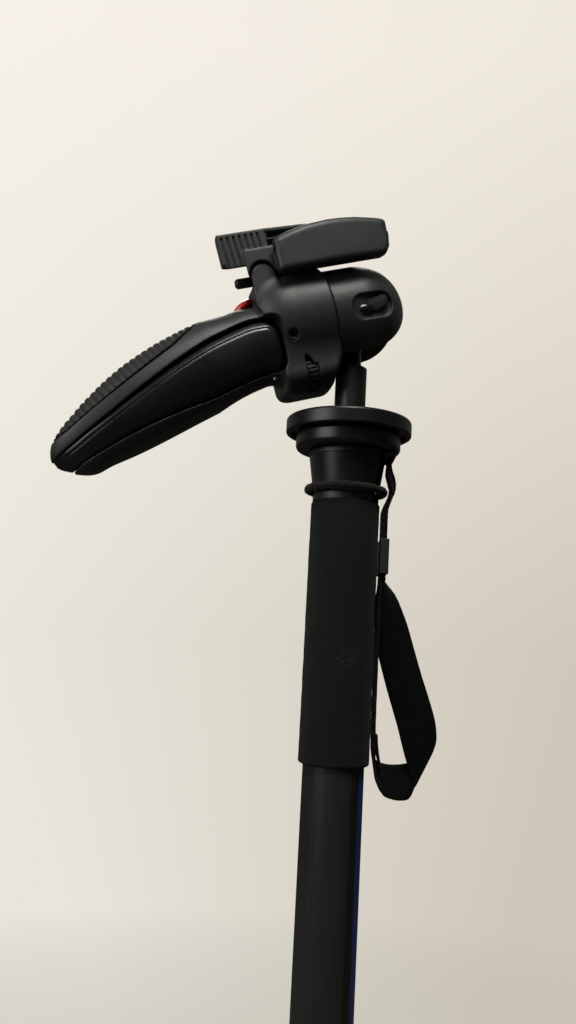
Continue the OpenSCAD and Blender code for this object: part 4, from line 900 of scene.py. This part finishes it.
def webbing_strip(stations, thick, shift=0.0, steps=14):
    """Woven band: rounded selvedges, faint lengthwise ribs and a slight waviness."""
    mid, half = strap_place(spline(stations, steps))
    along = np.gradient(mid, axis=0)
    normal = np.cross(half, along)
    normal /= np.linalg.norm(normal, axis=1)[:, None]
    n, across = len(mid), 15
    cord_h, cord_turns, wave_h, wave_turn, edge_power, edge_t = 0.05, 34, 0.05, 0.9, 14, 0.25
    u = np.sin(np.linspace(-math.pi / 2, math.pi / 2, across))
    selvedge = np.clip(1 - np.abs(u) ** edge_power, edge_t, 1)
    shape = thick / 2 * selvedge * (1 + cord_h * np.cos(u * cord_turns))
    wave = wave_h * np.sin(np.arange(n) * wave_turn)[:, None] * np.abs(u)[None, :] ** 2
    run = np.concatenate([[0], np.cumsum(np.linalg.norm(np.diff(mid, axis=0), axis=1))])
    side = mid[:, None] + half[:, None] * u[None, :, None]
    side = side + normal[:, None] * (shift + wave)[:, :, None]
    top = side + normal[:, None] * shape[None, :, None]
    low = side - normal[:, None] * shape[None, :, None]
    ring = np.concatenate([top, low[:, ::-1]], 1)
    k = 2 * across
    faces = [(i * k + j, i * k + (j + 1) % k, (i + 1) * k + (j + 1) % k, (i + 1) * k + j)
             for i in range(n - 1) for j in range(k)]
    faces += [tuple(range(k))[::-1], tuple((n - 1) * k + j for j in range(k))]
    place = np.broadcast_to(np.concatenate([u, u[::-1]]) * web_w / 2, (n, k))
    uv = np.stack([place, np.broadcast_to(run[:, None], (n, k))], 2).reshape(-1, 2)
    return ring.reshape(-1, 3), faces, uv, run[-1]


def wrist_strap():
    """Doubled band from the ring to the slider, then a loop of two runs and its sewn end."""
    band = [(out, 0, tongue + drop, twist, 1, 0) for out, drop, twist in (
        (tab_out, -0.6, 0), (tab_out, 1.6, 0.03), (tab_out + 0.9, 9, 0.3), (cord_out + 0.4, 14.5, 0.22),
        (cord_out, 18.5, 0.05), (slider_out + 0.3, 25, 0), (slider_out, 30, 0), (slider_out, 36, 0),
        (slider_out, 45, 0), (slider_out, 53, 0), (slider_out, 59, 0))]
    leg = [(slider_out + web_t / 2, 0, 74, 0, 1, 0), (3.6, 0, 77.5, 0.3, 0.954, 0),
           (4.7, 0, 82, 0.6, 0.8, 0), (6.2, 0, 90, 0.8, 0.6, -0.1), (8.0, 0, 98, 0.9, 0.4, -0.18),
           (10.0, -0.3, 107, 0.945, 0.2, -0.26), (14.3, -0.5, 121, 0.939, 0.1, -0.344),
           (17.7, -0.5, 131, 0.939, 0, -0.344), (20.8, -0.5, 140.5, 0.93, 0, -0.37),
           (23.5, -0.5, 152, 0.75, 0, -0.66), (24.9, -0.5, 160, 0.431, 0, -0.902)]
    back = [(24.9, 0.5, 160, 0.431, 0, -0.902), (21.2, 0.6, 164, 0.25, 0.15, -0.95),
            (16.4, 0.8, 166, 0.1, 0.5, -0.86), (10.6, 1, 166.4, 0, 0.62, -0.78),
            (5.6, 1.2, 165, -0.05, 0.7, -0.71), (2.4, 1, 160, 0, 0.9, -0.43),
            (inner_out + 0.3, 0.4, 151, 0, 1, 0), (inner_out, 0, 138, 0, 1, 0), (inner_out, 0, 120, 0, 1, 0),
            (inner_out, 0, 100, 0, 1, 0), (inner_out + 0.2, 0, 84, 0, 1, 0),
            (slider_out - web_t / 2, 0, 74, 0, 1, 0)]
    end_out = inner_out + web_t
    end = [(end_out - 0.1, 0, 145.5, 0, 1, 0), (end_out + 0.25, 0.4, 150, 0, 1, 0),
           (end_out + 1.2, 0.6, 155, 0, 0.99, -0.12), (end_out + 2.2, 0.7, 158, 0, 0.97, -0.24)]
    layer_t = 0.98 * web_t
    strips = [webbing_strip(band, layer_t, 0.5 * web_t), webbing_strip(band, layer_t, -0.5 * web_t),
              webbing_strip(leg, web_t), webbing_strip(back, web_t), webbing_strip(end, web_t)]
    points, faces = gather([(p, f) for p, f, _, _ in strips])
    strap = piece("strap_webbing", points, faces, "strap", webbing, ["wrist_strap"])
    uv = np.concatenate([u for _, _, u, _ in strips]) * MM
    layer = strap.data.uv_layers.new(name="weave")
    corners = np.zeros(len(strap.data.loops), int)
    strap.data.loops.foreach_get("vertex_index", corners)
    layer.data.foreach_set("uv", uv[corners].ravel())


dish_screws()
badge_cap()
foam_sleeve()
cord_wrap()
wrist_strap()

# CAD nodes that stay: a material for each slot of the record, and a few nodes with one of their own

slots = {"casting": casting, "gloss": gloss, "rubber": rubber, "foam": foam, "anodised": anodised,
         "tube": tube_plain, "steel": steel, "plastic": plastic, "liner": liner, "red": red,
         "webbing": webbing, "cord": cord}
own = {"upper_tube": tube, "camera_plate": plate_black, "set_screw": blackened,
       # The friction wheel takes the near-black of painted shade, which stands in for the shade in its window
       "friction_wheel": shade_black}
for part in frame["record"]["subparts"]:
    node = frame["nodes"][part["node"]]
    node.data.materials.clear()
    node.data.materials.append(own.get(part["node"], slots[part["material_slot"]]))


# Camera, light and floor

def camera():
    """The photograph's view: a lens of focal_px pixels on a frame_h pixel tall picture."""
    focal_px, frame_h, sensor = 860.0, 1024, 36
    pitch, roll, azimuth = math.radians(8.5), math.radians(3.2), math.radians(-10)
    stand = Vector((-0.0965, -0.3922, 0.4121))
    ahead = Vector((0, math.cos(pitch), math.sin(pitch)))
    right = Vector((1, 0, 0))
    up = right.cross(ahead)
    right, up = turned(right, up, roll)
    turn = Matrix.Rotation(azimuth, 3, "Z")
    cam = bpy.data.objects.new("camera", bpy.data.cameras.new("camera"))
    bpy.context.scene.collection.objects.link(cam)
    cam.data.sensor_fit = "AUTO"
    cam.data.sensor_width = sensor
    cam.data.lens = focal_px / frame_h * sensor
    cam.data.clip_start = 0.01
    place = Matrix((turn @ right, turn @ up, -(turn @ ahead))).transposed().to_4x4()
    place.translation = stand
    cam.matrix_world = place
    bpy.context.scene.camera = cam


def softbox(name, place, target, size, power):
    """Round warm-white lamp that faces a target."""
    lamp = bpy.data.lights.new(name, "AREA")
    lamp.shape = "DISK"
    warm_white = (1, 0.98, 0.95)
    lamp.size, lamp.energy, lamp.color = size, power, warm_white
    obj = bpy.data.objects.new(name, lamp)
    bpy.context.scene.collection.objects.link(obj)
    obj.location = place
    obj.rotation_euler = (Vector(target) - Vector(place)).to_track_quat("-Z", "Y").to_euler()


pale, pale_right = tone(247, 241, 232), tone(236, 230, 218)
warm_pale, dim_pale = tone(232, 229, 219), tone(206, 199, 185)
under_dim = tone(96, 94, 88)
mirror_level, fill_level = 0.2, 0.05


def surround_tone(s, direction):
    """Cream surroundings, a little dimmer to the right and towards the floor, and the direction's axes."""
    unit = s.add("VectorMath", {0: direction}, operation="NORMALIZE").outputs[0]
    axes = s.add("SeparateXYZ", {"Vector": unit}).outputs
    right = s.ramp(axes[0], -0.15, 0.5)
    low, high = s.mix(right, warm_pale, dim_pale), s.mix(right, pale, pale_right)
    return s.mix(s.ramp(axes[2], 0.0, 0.6), low, high), axes


class WorldShader(Shader):
    """The same calls for the nodes of the surroundings."""

    def __init__(self):
        self.world = bpy.data.worlds.new("world")
        self.world.use_nodes = True
        self.tree = self.world.node_tree
        self.where = self.add("TexCoord").outputs["Generated"]


def backdrop_world():
    """Pale surroundings for the camera, and dimmer ones for what the object mirrors and is lit by."""
    s = WorldShader()
    bpy.context.scene.world = s.world
    colour, axes = surround_tone(s, s.where)
    seen = s.add("Background", {"Color": colour, "Strength": 1.0})
    near_side = s.ramp(axes[1], -0.5, 0.5, 0.3, 1.0)
    mirror = s.math("MULTIPLY", near_side, mirror_level)
    mirrored = s.add("Background", {"Color": colour, "Strength": mirror})
    lit = s.add("Background", {"Color": colour, "Strength": fill_level})
    path = s.add("LightPath").outputs
    shiny = s.math("MAXIMUM", path["Is Glossy Ray"], path["Is Transmission Ray"])
    object_light = s.add("MixShader", {0: shiny, 1: lit.outputs[0], 2: mirrored.outputs[0]})
    both = s.add("MixShader", {0: path["Is Camera Ray"], 1: object_light.outputs[0], 2: seen.outputs[0]})
    s.tree.links.new(both.outputs[0], s.tree.nodes["World Output"].inputs[0])


def floor():
    """Large pale floor that runs into the surroundings' tone away from the object, and lights it little."""
    r, own_light, glow_from, glow_to = 40, 0.15, 0.3, 1.0
    mesh = bpy.data.meshes.new("floor")
    mesh.from_pydata([(-r, -r, 0), (r, -r, 0), (r, r, 0), (-r, r, 0)], [], [(0, 1, 2, 3)])
    s = Shader("floor")
    away = s.add("VectorMath", {0: s.where}, operation="LENGTH").outputs["Value"]
    seen = s.add("LightPath").outputs["Is Camera Ray"]
    s.set(Base_Color=s.mix(seen, under_dim, warm_pale), Roughness=0.9, Specular_IOR_Level=0.1,
          Emission_Color=warm_pale, Emission_Strength=s.math("MULTIPLY", seen, own_light))
    colour, _ = surround_tone(s, s.where)
    glow = s.add("Emission", {"Color": colour, "Strength": 1.0})
    far = s.math("MULTIPLY", s.ramp(away, glow_from, glow_to), seen)
    mixed = s.add("MixShader", {0: far, 1: s.out.outputs[0], 2: glow.outputs[0]})
    s.tree.links.new(mixed.outputs[0], s.tree.nodes["Material Output"].inputs[0])
    mesh.materials.append(s.material)
    obj = bpy.data.objects.new("floor", mesh)
    bpy.context.scene.collection.objects.link(obj)


camera()
backdrop_world()
floor()
aim = (-0.05, 0, ball_z * MM)
softbox("key", (-0.1, -0.65, 1.5), aim, size=0.5, power=11)
softbox("side", (-1.0, -0.5, 0.8), aim, size=0.7, power=5)
softbox("back", (0.1, 1.0, 1.4), aim, size=0.6, power=6)
bpy.context.scene.view_settings.view_transform = "Standard"
